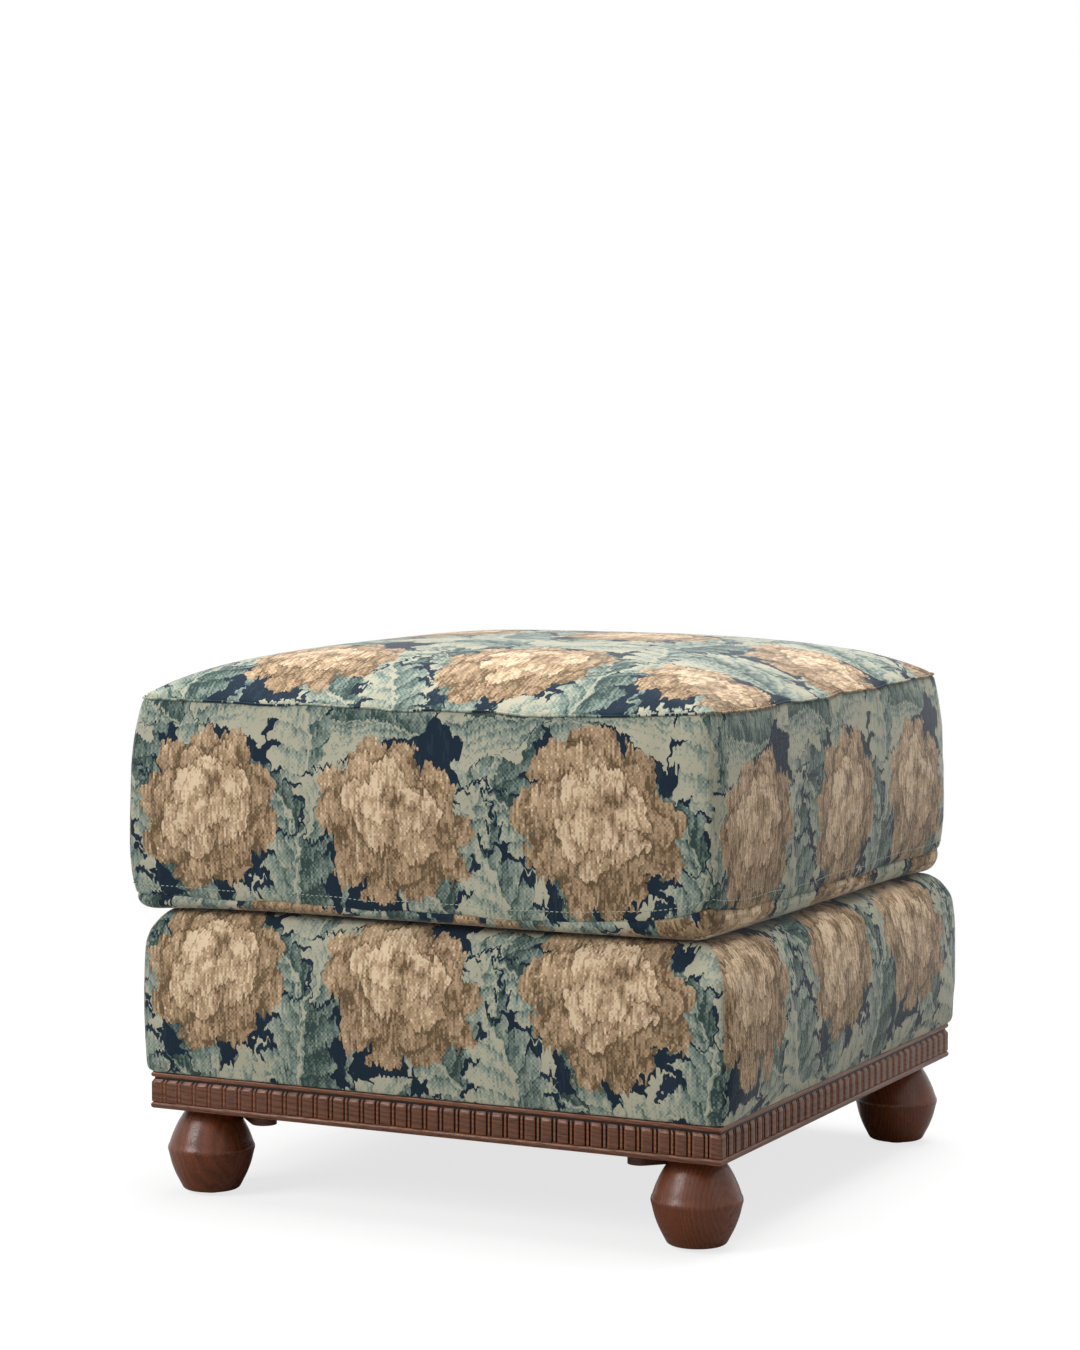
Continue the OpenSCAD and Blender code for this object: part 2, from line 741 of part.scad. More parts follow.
// Eight-sided sheet under the plinth, cut off at the corner braces
module dust_cover() {
    cut = brace_near + brace_far + brace_w / sqrt(2) + 3 - dust_cover_in;
    w = plinth_w / 2 - dust_cover_in;
    d = plinth_d / 2 - dust_cover_in;
    cut_w = w + dust_cover_in - cut;
    cut_d = d + dust_cover_in - cut;
    color(cambric) translate([0, 0, foot_h - dust_cover_t]) linear_extrude(dust_cover_t) {
        polygon([
            [-cut_w, -d], [cut_w, -d], [w, -cut_d], [w, cut_d],
            [cut_w, d], [-cut_w, d], [-w, cut_d], [-w, -cut_d]
        ]);
    }
}

module dust_cover_staples() {
    each_side = 5;
    inset = dust_cover_in + 5;
    color(steel) for (k = [0:3]) on_side(k, side_half(k)) for (i = [0:each_side - 1]) {
        span = side_len(k) - 2 * (brace_near + brace_far + brace_w);
        translate([(i / (each_side - 1) - 0.5) * span, inset, foot_h - dust_cover_t - staple_t]) {
            mirror([0, 0, 1]) staple();
        }
    }
}

cushion_shift = [cushion_shift_x, cushion_shift_y];

// Swell of the boxing beyond its seams at the height z, flat across the zip's band
function swell(z) = let (off = max(0, abs(z - zip_z) - zip_band / 2))
    boxing_bulge * (1 - pow(off / (boxing_h / 2 - zip_band / 2), 2));

// One row of boxing at the share f of the way down, t inside its outer face.
// shut is how far a zip edge moves at the ends of the row, where the opening closes.
function boxing_row(k, z, shut, t) =
    let (count = 2 * (arc_steps + 1) + side_steps - 1)
    [for (i = [0:count - 1])
        let (zi = z + ((i < arc_steps || i >= count - arc_steps) ? shut : 0), d = swell(zi) - t)
        side_at(k, cushion_len(k) / 2 + d, cushion_half(k) + d,
            max(least_r, cushion_corner_r + d), bow(k), zi, cushion_shift)[i]];

module boxing(k, top, low, top_shut, low_shut, steps) {
    color(tapestry) between(
        [for (j = [0:steps]) let (f = j / steps)
            boxing_row(k, top + (low - top) * f, top_shut * (1 - f) + low_shut * f, 0)],
        [for (j = [0:steps]) let (f = j / steps)
            boxing_row(k, top + (low - top) * f, top_shut * (1 - f) + low_shut * f, cover_t)]
    );
}

module cushion_boxing(k) {
    boxing(k, seam_high, seam_low, 0, 0, 6);
}

module cushion_boxing_back_upper() {
    close = (zip_gap - sheet_gap) / 2;
    boxing(back, seam_high, zip_z + zip_gap / 2, 0, -close, 4);
}

module cushion_boxing_back_lower() {
    close = (zip_gap - sheet_gap) / 2;
    boxing(back, zip_z - zip_gap / 2, seam_low, close, 0, 4);
}

// A ring of the crown at the share s of its half width, t inside the cloth
function crown_ring(s, t) =
    let (w = (cushion_w / 2 - t) * s, d = (cushion_d / 2 - t) * s)
    let (r = (cushion_corner_r - t) * s + min(w, d) * (1 - pow(s, 6)) * crown_round)
    let (z = seam_high + (crown_h - t) * pow(1 - pow(s, crown_flat), crown_edge))
    ring_at(w, d, r, side_bow * s, z, cushion_shift);

crown_shares = [0.35, 0.6, 0.77, 0.88, 0.95, 0.985, 1];
lining_shares = [0.4, 0.7, 0.88, 0.97, 1];

module cushion_top_panel() {
    color(tapestry) rings(
        concat(
            [for (s = lining_shares) crown_ring(s, cover_t)],
            [for (i = [len(crown_shares) - 1:-1:0]) crown_ring(crown_shares[i], 0)]
        ),
        [cushion_shift.x, cushion_shift.y, seam_high + crown_h - cover_t],
        [cushion_shift.x, cushion_shift.y, seam_high + crown_h]
    );
}

// A ring of the rounded underside, a being 0 at the seam and 90 at the flat
function under_ring(a, t) =
    let (d = -under_w + (under_w - t) * cos(a))
    ring_at(cushion_w / 2 + d, cushion_d / 2 + d, max(least_r, cushion_corner_r + d),
        side_bow * cos(a), seam_low - (bottom_seam_rise - t) * sin(a), cushion_shift);

module cushion_bottom_panel() {
    turns = [90, 60, 30, 0];
    color(tapestry) rings(
        concat(
            [for (a = turns) under_ring(a, 0)],
            [for (i = [len(turns) - 1:-1:0]) under_ring(turns[i], cover_t)]
        ),
        [cushion_shift.x, cushion_shift.y, deck_z],
        [cushion_shift.x, cushion_shift.y, deck_z + cover_t]
    );
}

module cushion_foam_core() {
    t = cover_t + 2 * soft_gap;
    r = cushion_corner_r - t;
    w = cushion_w / 2 - t;
    d = cushion_d / 2 - t;
    color(foam) translate([cushion_shift.x, cushion_shift.y, seam_low + soft_gap]) {
        linear_extrude(boxing_h - 2 * soft_gap) {
            square([2 * w, 2 * (d - r)], center = true);
            square([2 * (w - r), 2 * d], center = true);
            for (x = [-1, 1]) for (y = [-1, 1]) translate([x * (w - r), y * (d - r)]) circle(r = r);
        }
    }
}

module cushion_fibre_top() {
    t = cover_t + 2 * soft_gap;
    color(fibre) rings(
        [for (i = [len(lining_shares) - 1:-1:0]) crown_ring(lining_shares[i], t)],
        [cushion_shift.x, cushion_shift.y, seam_high],
        [cushion_shift.x, cushion_shift.y, seam_high + crown_h - t]
    );
}

module cushion_fibre_bottom() {
    t = cover_t + 2 * soft_gap;
    turns = [90, 60, 30, 0];
    color(fibre) rings(
        [for (a = turns) under_ring(a, t)],
        [cushion_shift.x, cushion_shift.y, deck_z + t],
        [cushion_shift.x, cushion_shift.y, seam_low]
    );
}

// Places children on the zip's line: x along the zip, y outwards from the cushion's middle
module at_zip() {
    translate([cushion_shift.x, cushion_shift.y, zip_z]) children();
}

module zip_tapes() {
    color(cambric) at_zip() for (s = [0, 1]) mirror([0, 0, s]) {
        translate([-zip_half, tape_back, zip_coil_w / 2 + sheet_gap]) {
            cube([2 * zip_half, zip_tape_t, zip_tape_w]);
        }
    }
}

module zip_coil() {
    color(nylon) at_zip() translate([-coil_half, tape_back, -zip_coil_w / 2]) {
        cube([2 * coil_half, zip_coil_t, zip_coil_w]);
    }
}

module zip_end_stops() {
    color(brass) at_zip() for (s = [0, 1]) mirror([s, 0, 0]) {
        translate([coil_half, tape_back, -zip_coil_w / 2]) {
            cube([zip_stop_l, zip_coil_t, zip_coil_w]);
        }
    }
}

// Slider: a plate over the coil with a lip on each side and a bail for the pull
module zip_slider() {
    lip_t = slider_w / 2 - zip_coil_w / 2 - zip_clear;
    lip_foot = tape_face + zip_clear;
    bail_half = slider_l / 4;
    color(brass) at_zip() translate([slider_home, 0, 0]) {
        translate([-slider_l / 2, slider_back, -slider_w / 2]) {
            cube([slider_l, slider_t, slider_w]);
        }
        for (s = [0, 1]) mirror([0, 0, s]) {
            translate([-slider_l / 2, lip_foot, slider_w / 2 - lip_t]) {
                cube([slider_l, slider_back - lip_foot, lip_t]);
            }
        }
        translate([-bail_half, bail_y, 0]) rotate([0, 90, 0]) {
            cylinder(h = 2 * bail_half, r = bail_r);
        }
        for (x = [-bail_half - bail_d, bail_half]) {
            translate([x, slider_face, -bail_r]) {
                cube([bail_d, bail_y + bail_r - slider_face, bail_d]);
            }
        }
    }
}

// Pull: a flat tab that hangs from an eye round the bail
module zip_pull() {
    eye_half = slider_l / 4 - zip_clear;
    hole_r = pull_w / 4;
    color(brass) at_zip() translate([slider_home, bail_y, 0]) difference() {
        union() {
            rotate([0, 90, 0]) cylinder(h = 2 * eye_half, r = eye_r, center = true);
            translate([-eye_half, -pull_t / 2, -2 * eye_r]) cube([2 * eye_half, pull_t, 2 * eye_r]);
            translate([-pull_w / 2, -pull_t / 2, -pull_l]) {
                cube([pull_w, pull_t, pull_l - 2 * eye_r]);
            }
        }
        rotate([0, 90, 0]) cylinder(h = pull_w, r = bail_r + eye_clear, center = true);
        translate([0, 0, -pull_l + 2 * hole_r]) rotate([90, 0, 0]) {
            cylinder(h = 2 * pull_t, r = hole_r, center = true);
        }
    }
}

foot(-1, -1);  // foot_front_left
foot(1, -1);  // foot_front_right
foot(-1, 1);  // foot_rear_left
foot(1, 1);  // foot_rear_right
foot_glides();
hanger_bolts();
insert_nuts();
plinth_rail(front);  // plinth_rail_front
plinth_rail(right);  // plinth_rail_right
plinth_rail(back);  // plinth_rail_back
plinth_rail(left);  // plinth_rail_left
corner_brace(-1, -1);  // corner_brace_front_left
corner_brace(1, -1);  // corner_brace_front_right
corner_brace(-1, 1);  // corner_brace_rear_left
corner_brace(1, 1);  // corner_brace_rear_right
brace_screws();
plinth_screws();
corner_post(-1, -1);  // corner_post_front_left
corner_post(1, -1);  // corner_post_front_right
corner_post(-1, 1);  // corner_post_rear_left
corner_post(1, 1);  // corner_post_rear_right
frame_panel(front);  // frame_panel_front
frame_panel(right);  // frame_panel_right
frame_panel(back);  // frame_panel_back
frame_panel(left);  // frame_panel_left
frame_dowels();
webbing_lengthwise();
webbing_crosswise();
webbing_staples();
deck_hessian();
deck_foam();
base_foam(front);  // base_foam_front
base_foam(right);  // base_foam_right
base_foam(back);  // base_foam_back
base_foam(left);  // base_foam_left
base_cover(front);  // base_cover_front
base_cover(right);  // base_cover_right
base_cover(back);  // base_cover_back
base_cover(left);  // base_cover_left
cover_staples();
deck_cloth();
dust_cover();
dust_cover_staples();
cushion_top_panel();
cushion_bottom_panel();
cushion_boxing(front);  // cushion_boxing_front
cushion_boxing(right);  // cushion_boxing_right
cushion_boxing(left);  // cushion_boxing_left
cushion_boxing_back_upper();
cushion_boxing_back_lower();
cushion_foam_core();
cushion_fibre_top();
cushion_fibre_bottom();
zip_tapes();
zip_coil();
zip_end_stops();
zip_slider();
zip_pull();
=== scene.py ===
import math

import bmesh
import bpy
import numpy as np
from mathutils import Matrix, Vector, noise
from mathutils.kdtree import KDTree


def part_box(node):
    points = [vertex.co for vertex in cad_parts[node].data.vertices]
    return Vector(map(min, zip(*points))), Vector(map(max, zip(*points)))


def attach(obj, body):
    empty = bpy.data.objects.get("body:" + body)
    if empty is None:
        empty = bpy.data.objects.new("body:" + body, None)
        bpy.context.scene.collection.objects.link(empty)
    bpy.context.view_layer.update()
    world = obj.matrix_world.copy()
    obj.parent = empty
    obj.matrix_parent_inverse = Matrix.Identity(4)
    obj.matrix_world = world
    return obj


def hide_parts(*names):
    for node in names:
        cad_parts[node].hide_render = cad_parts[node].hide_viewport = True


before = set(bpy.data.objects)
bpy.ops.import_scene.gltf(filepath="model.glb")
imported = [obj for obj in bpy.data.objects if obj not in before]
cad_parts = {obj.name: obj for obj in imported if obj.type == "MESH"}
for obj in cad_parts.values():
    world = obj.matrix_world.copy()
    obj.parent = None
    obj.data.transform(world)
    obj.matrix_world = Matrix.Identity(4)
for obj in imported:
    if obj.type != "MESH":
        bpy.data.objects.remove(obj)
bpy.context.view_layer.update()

MM = 0.001

# The sides of the ottoman in the order in which the stations run round it, anticlockwise from above, and
# the corner at which each side starts
SIDES = ("front", "right", "back", "left")
CORNERS = ((-1, -1), (1, -1), (1, 1), (-1, 1))

# Where the camera stands, in metres, how it is turned, and its lens as 35 mm film would have it
CAMERA_PLACE = (1.32604, -2.72749, 0.66055)
CAMERA_TURN = math.radians(26.366)
CAMERA_DIP = math.radians(4.0525)
CAMERA_LENS = 90.23
FILM_LONG_SIDE = 36.0

# Stations round a cover: half the number along one side
HALF_SIDE = 34
AROUND = 8 * HALF_SIDE

# Cushion, as the frame has it
boxing_low, boxing_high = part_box("cushion_boxing_front")
panel_low, panel_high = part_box("cushion_top_panel")
SEAM_LOW = boxing_low.z
SEAM_HIGH = boxing_high.z
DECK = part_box("cushion_bottom_panel")[0].z
CROWN = panel_high.z - SEAM_HIGH
SEAM_BOW = 3 * MM
CUSHION_HALF = np.full(2, (panel_high.x - panel_low.x) / 2 - SEAM_BOW)
CUSHION_MIDDLE = np.array([(panel_low.x + panel_high.x) / 2, panel_low.y + SEAM_BOW + CUSHION_HALF[1]])
CUSHION_CORNER = 16 * MM
BOXING_SWELL = 4 * MM
BOXING_CORNER = 11 * MM
# The crown's curve, flat in its middle and steep at its edge, how round its plan gets inwards, and how
# much fuller it is at the two left corners
CROWN_FLAT = 3.35
CROWN_EDGE = 0.715
CROWN_ROUND = 0.31
LEFT_CORNERS_FULLER = 0.12
# The rounded strip under the cushion, and the zip in the back boxing
UNDER_WIDTH = 30 * MM
UNDER_FULLNESS = 0.8
ZIP_HALF_GAP = 1.7 * MM
ZIP_TAPER = 4 * MM
ZIP_END = CUSHION_HALF[0] - 3 * ZIP_TAPER

# Base, as the frame has it
rail_low, rail_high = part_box("plinth_rail_front")
PLINTH_HALF = rail_high.x
PLINTH_LOW = rail_low.z
PLINTH_TOP = rail_high.z
BASE_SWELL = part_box("base_cover_right")[1].x - PLINTH_HALF
BASE_SWELL_DROP = 2.8 * MM
BASE_CORNER = 7 * MM
BELLY_CORNER = 3 * MM
# The rounding of the shoulder and of the tuck, out and up, and how much fuller than an ellipse the tuck is
SHOULDER = (30 * MM, 33 * MM)
TUCK = (6.5 * MM, 11 * MM)
TUCK_FULLNESS = 0.6
CORNER_PULL = 4 * MM
BORDER = 60 * MM

# The sharpest that a corner of cloth or foam is drawn
LEAST_CORNER = 0.6 * MM


def linear(colour):
    """The linear colour of an sRGB hex value, as a shader's socket takes it."""
    parts = [int(colour[i:i + 2], 16) / 255 for i in (1, 3, 5)]
    return [c / 12.92 if c <= 0.04045 else ((c + 0.055) / 1.055) ** 2.4 for c in parts] + [1.0]


def add(tree, kind, *values, stops=(), steps=(), **settings):
    """Adds a node with its settings and links. kind may be followed by an operation. values fill its
    sockets in their order, or one dict names them, and each may be a node or a node's output. stops are
    the colours of a ramp that blends them, steps those of one that does not."""
    kind, _, operation = kind.partition(" ")
    made = tree.nodes.new("ShaderNode" + kind)
    if operation:
        made.operation = operation
    for name, value in settings.items():
        setattr(made, name, value)
    for i, (place, colour) in enumerate(stops or steps):
        ramp = made.color_ramp
        ramp.interpolation = "CONSTANT" if steps else "LINEAR"
        mark = ramp.elements[i] if i < 2 else ramp.elements.new(place)
        mark.position = place
        mark.color = linear(colour)
    named = values and isinstance(values[0], dict)
    for socket, value in (values[0] if named else dict(enumerate(values))).items():
        if isinstance(value, bpy.types.Node):
            value = value.outputs[0]
        if isinstance(value, bpy.types.NodeSocket):
            tree.links.new(value, made.inputs[socket])
        else:
            made.inputs[socket].default_value = value
    return made


def empty_nodes(owner):
    """The emptied node tree of a new material or world."""
    owner.use_nodes = True
    owner.node_tree.nodes.clear()
    return owner.node_tree


def new_finish(name):
    """A material and its empty node tree."""
    finish = bpy.data.materials.new(name)
    return finish, empty_nodes(finish)


def lay_surface(finish, colour, relief, looks):
    """Ends a finish with its surface. relief is a bump's strength, its depth in metres and its height."""
    tree = finish.node_tree
    strength, depth, height = relief
    bump = add(tree, "Bump", {"Strength": strength, "Distance": depth, "Height": height})
    shader = add(tree, "BsdfPrincipled", {"Base Color": colour, "Normal": bump} | looks)
    add(tree, "OutputMaterial", shader)
    return finish


# Tapestry

# One repeat of the woven design, in millimetres, and the yarns. Real warp threads lie about 1 mm apart;
# they are drawn at nearly twice that, the finest that shows at the picture's scale.
REPEAT = (372.0, 236.0)
WARP_PITCH = 1.9
WEFT_PITCH = 2.1
FLOAT_LENGTH = 8.5
FLOAT_STAGGER = 7.3
BOBBIN_PATCH = (1 / 9.0, 1 / 24.0, 0)
YARN_MEAN = 1.1

# How far the drawing wanders, how far its outlines are nudged sideways, and for leaves and blooms how
# long the spikes along the warp are and how far each thread jumps, in millimetres
SWAY = 46.0
NUDGE = 12.0
LEAF_SPIKES = (9.0, 3.0)
BLOOM_SPIKES = (16.0, 4.5)

# Tones run from the navy ground over the leaves to the blooms, in this order
LEAF_TONES = (0.12, 0.50)
BLOOM_TONES = (0.52, 0.995)
YARNS = (
    (0.0, "#162532"), (0.07, "#1F2D39"),
    (0.11, "#334340"), (0.175, "#4A5B55"), (0.235, "#606F67"), (0.29, "#74817A"), (0.345, "#858F83"),
    (0.395, "#969B8A"), (0.445, "#A8A591"),
    (0.51, "#62503B"), (0.57, "#7C674E"), (0.65, "#957E63"), (0.75, "#A98F72"), (0.84, "#BEA486"),
    (0.92, "#D2BC9E"),
)


def motif_group(name, inputs):
    """A node group for one motif of the design: numbers in, the tone with the motif drawn over it out."""
    group = bpy.data.node_groups.new(name, "ShaderNodeTree")
    for label in inputs:
        group.interface.new_socket(name=label, in_out="INPUT", socket_type="NodeSocketFloat")
    group.interface.new_socket(name="Tone", in_out="OUTPUT", socket_type="NodeSocketFloat")
    source = group.nodes.new("NodeGroupInput")
    return group, {label: source.outputs[label] for label in inputs}


def finish_motif(group, tone):
    """Hands the tone out of a motif's group."""
    sink = group.nodes.new("NodeGroupOutput")
    group.links.new(tone.outputs[0], sink.inputs[0])
    return group


def place_motif(group, given):
    """Where a stitch lies from the motif's own middle, over the edges of the repeat."""
    across = add(group, "Math SUBTRACT", given["Along"], given["Middle along"])
    across = add(group, "Math WRAP", across, REPEAT[0] / 2, -REPEAT[0] / 2)
    up = add(group, "Math SUBTRACT", given["Up"], given["Middle up"])
    up = add(group, "Math WRAP", up, REPEAT[1] / 2, -REPEAT[1] / 2)
    return across, up


# The design is drawn as if lit from the upper left, and each ring of petals has a shadow round it that
# reaches out to this share of its radius
LIT_FROM = math.radians(130)
SHADOW_REACH = 1.09
SHADOW_DEPTH = 0.12


def petal_ring_group():
    """A ring of ruffled petals, lighter at their rims, with a shadow on what lies behind them."""
    group, given = motif_group("petal ring", (
        "Tone", "Along", "Up", "Yarn", "Middle along", "Middle up", "Radius", "Petals", "Turn", "Ruffle",
        "Shade"))
    across, up = place_motif(group, given)
    spot = add(group, "CombineXYZ", across, up)
    distance = add(group, "VectorMath LENGTH", spot).outputs["Value"]
    angle = add(group, "Math ARCTAN2", up, across)
    # The rim dips between the petals
    beat = add(group, "Math MULTIPLY_ADD", angle, given["Petals"], given["Turn"])
    wave = add(group, "Math SINE", beat)
    petal = add(group, "Math ABSOLUTE", wave)
    petal = add(group, "Math POWER", petal, 0.6)
    dip = add(group, "Math SUBTRACT", petal, 1.0)
    rim = add(group, "Math MULTIPLY_ADD", dip, given["Ruffle"], 1.0)
    rim = add(group, "Math MULTIPLY", rim, given["Radius"])
    reach = add(group, "Math DIVIDE", distance, rim)
    inside = add(group, "Math LESS_THAN", reach, 1.0)
    near = add(group, "Math LESS_THAN", reach, SHADOW_REACH)
    # Paler along each petal's middle, at its rim and towards the light
    lit = add(group, "Math SUBTRACT", angle, LIT_FROM)
    lit = add(group, "Math COSINE", lit)
    light = given["Shade"]
    for part, share in ((petal, 0.20), (reach, 0.12), (lit, 0.05), (given["Yarn"], 0.25)):
        light = add(group, "Math MULTIPLY_ADD", part, share, light)
    light = add(group, "Clamp", light, BLOOM_TONES[0], BLOOM_TONES[1])
    # The shadow falls on blooms only and keeps to their tones
    blooming = add(group, "Math GREATER_THAN", given["Tone"], BLOOM_TONES[0])
    shade = add(group, "Math MULTIPLY", near, blooming)
    behind = add(group, "Math MULTIPLY_ADD", shade, -SHADOW_DEPTH, given["Tone"])
    floor = add(group, "Math MULTIPLY", blooming, BLOOM_TONES[0])
    behind = add(group, "Math MAXIMUM", behind, floor)
    return finish_motif(group, add(group, "Mix", {0: inside, 2: behind, 3: light}, data_type="FLOAT"))


def leaf_group():
    """A long leaf with curled teeth along both sides, a pale midrib, one darker half and an outline."""
    group, given = motif_group("toothed leaf", (
        "Tone", "Along", "Up", "Yarn", "Middle along", "Middle up", "Angle", "Length", "Half width", "Bend",
        "Teeth", "Shade"))
    across, up = place_motif(group, given)
    spot = add(group, "CombineXYZ", across, up)
    spot = add(group, "VectorRotate", {"Vector": spot, "Angle": given["Angle"]}, rotation_type="Z_AXIS")
    parts = add(group, "SeparateXYZ", spot)
    # How far along the leaf, and how far from its bent midrib
    share = add(group, "Math DIVIDE", parts.outputs[1], given["Length"])
    curl = add(group, "Math MULTIPLY", share, share)
    curl = add(group, "Math MULTIPLY", curl, given["Bend"])
    side = add(group, "Math SUBTRACT", parts.outputs[0], curl)
    off = add(group, "Math ABSOLUTE", side)
    off = add(group, "Math DIVIDE", off, given["Half width"])
    # It narrows towards both ends, and more towards its tip
    taper = add(group, "Math ABSOLUTE", share)
    taper = add(group, "Math POWER", taper, 3.0)
    taper = add(group, "Math MULTIPLY_ADD", taper, -8.0, 1.0)
    slope = add(group, "Math MULTIPLY_ADD", share, -0.7, 0.9)
    taper = add(group, "Math MULTIPLY", taper, slope)
    # The teeth are a slanted saw, cut into the edge
    beat = add(group, "Math MULTIPLY", off, -1.1)
    beat = add(group, "Math MULTIPLY_ADD", share, given["Teeth"], beat)
    saw = add(group, "Math FRACT", beat)
    notch = add(group, "Math POWER", saw, 2.0)
    edge = add(group, "Math MULTIPLY_ADD", notch, -0.45, 1.14)
    edge = add(group, "Math MULTIPLY", edge, taper)
    inside = add(group, "Math LESS_THAN", off, edge)
    # Darker in the notches and on one half, paler on the midrib and towards the edge
    half = add(group, "Math GREATER_THAN", side, 0.0)
    rib = add(group, "Math LESS_THAN", off, 0.07)
    light = given["Shade"]
    for part, share in ((notch, -0.16), (half, -0.13), (rib, 0.20), (off, 0.10), (given["Yarn"], 0.15)):
        light = add(group, "Math MULTIPLY_ADD", part, share, light)
    light = add(group, "Clamp", light, LEAF_TONES[0], LEAF_TONES[1])
    # A dark outline parts the leaf from the leaves that it lies over
    outline = add(group, "Math ADD", edge, 0.13)
    outline = add(group, "Math LESS_THAN", off, outline)
    outline = add(group, "Math MULTIPLY_ADD", outline, -0.82, 1.0)
    behind = add(group, "Math MULTIPLY", given["Tone"], outline)
    return finish_motif(group, add(group, "Mix", {0: inside, 2: behind, 3: light}, data_type="FLOAT"))


# Leaves of one repeat: middle along and up, angle, length, half width, bend, teeth and shade.
# Lengths are in millimetres, angles in degrees from upright.
LEAVES = (
    (98, 6, -80, 118, 28, 30, 5, 0.31),
    (286, 216, 78, 116, 28, -30, 5, 0.31),
    (150, 18, 60, 130, 31, 44, 6, 0.45),
    (42, 216, -62, 134, 31, -40, 6, 0.36),
    (232, 224, 56, 130, 31, 40, 6, 0.45),
    (330, 28, -56, 130, 31, -44, 6, 0.37),
    (186, 62, 14, 158, 35, 60, 7, 0.34),
    (196, 178, -20, 150, 34, -50, 6, 0.44),
    (2, 42, -16, 158, 35, -60, 7, 0.43),
    (10, 162, 22, 152, 34, 50, 6, 0.35),
    (216, 118, 34, 92, 20, 30, 5, 0.48),
    (164, 120, -36, 92, 20, -30, 5, 0.33),
    (346, 112, 30, 92, 20, 26, 5, 0.48),
    (30, 106, -34, 90, 20, -28, 5, 0.35),
)

# The two blooms of one repeat: middle, and rings of radius, petals, turn, ruffle, shade and shift up
BLOOMS = (
    ((96, 116), (
        (75, 9, 0.4, 0.24, 0.42, -2), (60, 7, 1.1, 0.26, 0.45, -6), (44, 6, 0.2, 0.28, 0.60, -2),
        (29, 5, 1.4, 0.30, 0.64, 3), (14, 3, 0.1, 0.30, 0.48, 11))),
    ((280, 104), (
        (72, 10, 1.3, 0.25, 0.44, 0), (57, 7, 0.3, 0.27, 0.46, 3), (41, 5, 0.9, 0.30, 0.58, 7),
        (26, 4, 0.2, 0.30, 0.62, 13), (11, 5, 0.3, 0.22, 0.45, 17))),
)


def woven_yarn(tree, cloth):
    """The yarn as the loom lays it: floats one warp thread wide, patches of one bobbin, and the twill of
    the weft over them. Gives the warp's count, each thread's step, the floats, the twill and their sum."""
    parts = add(tree, "SeparateXYZ", cloth)
    warp = add(tree, "Math DIVIDE", parts.outputs[0], WARP_PITCH)
    thread = add(tree, "Math FLOOR", warp)
    step = add(tree, "TexWhiteNoise", {"W": thread}, noise_dimensions="1D")
    # Floats, which start higher or lower from one thread to the next
    lift = add(tree, "Math DIVIDE", parts.outputs[1], FLOAT_LENGTH)
    lift = add(tree, "Math MULTIPLY_ADD", step, FLOAT_STAGGER, lift)
    lift = add(tree, "Math FLOOR", lift)
    streak = add(tree, "CombineXYZ", thread, lift)
    streak = add(tree, "TexWhiteNoise", {"Vector": streak}, noise_dimensions="2D")
    # Patches of one bobbin, and single crossings of the warp and the weft
    patch = add(tree, "VectorMath MULTIPLY", cloth, BOBBIN_PATCH)
    patch = add(tree, "TexNoise", {"Vector": patch, "Scale": 1.0, "Detail": 2.0}, noise_dimensions="2D")
    grit = add(tree, "VectorMath MULTIPLY", cloth, (1 / WARP_PITCH, 1 / WEFT_PITCH, 0))
    grit = add(tree, "VectorMath FLOOR", grit)
    grit = add(tree, "TexWhiteNoise", {"Vector": grit}, noise_dimensions="2D")
    # The twill moves half a turn up with every thread
    twill = add(tree, "Math MULTIPLY", parts.outputs[1], 1 / (2 * WEFT_PITCH))
    twill = add(tree, "Math MULTIPLY_ADD", thread, 0.5, twill)
    twill = add(tree, "Math MULTIPLY", twill, math.tau)
    twill = add(tree, "Math SINE", twill)
    yarn = -YARN_MEAN
    for part, share in ((patch, 0.75), (streak, 0.95), (grit, 0.50), (twill, 0.14)):
        yarn = add(tree, "Math MULTIPLY_ADD", part, share, yarn)
    return warp, step, streak, twill, yarn


def drawn_places(tree, cloth, step):
    """Where each stitch lies in the drawing, along and up for leaves and up for blooms: it wanders as a
    hand-drawn one does, and its outlines break up into spikes along the warp, longer on the blooms."""
    sway = add(tree, "TexNoise", {"Vector": cloth, "Scale": 0.011, "Detail": 2.0}, noise_dimensions="2D")
    sway = add(tree, "VectorMath SUBTRACT", sway.outputs["Color"], (0.5, 0.5, 0.5))
    sway = add(tree, "VectorMath SCALE", {0: sway, 3: SWAY})
    drawn = add(tree, "VectorMath ADD", cloth, sway)
    drawn = add(tree, "SeparateXYZ", drawn)
    nudge = add(tree, "VectorMath SCALE", {0: cloth, 3: 1 / 9.0})
    nudge = add(tree, "TexNoise", {"Vector": nudge, "Scale": 1.0, "Detail": 1.0}, noise_dimensions="2D")
    fray = add(tree, "VectorMath MULTIPLY", cloth, (1 / 4.5, 1 / 18.0, 0))
    fray = add(tree, "TexNoise", {"Vector": fray, "Scale": 1.0, "Detail": 2.0}, noise_dimensions="2D")
    places = [add(tree, "Math MULTIPLY_ADD", nudge, NUDGE, drawn.outputs[0])]
    for spike, jump in (LEAF_SPIKES, BLOOM_SPIKES):
        up = add(tree, "Math MULTIPLY_ADD", fray, spike, drawn.outputs[1])
        places.append(add(tree, "Math MULTIPLY_ADD", step, jump, up))
    return places


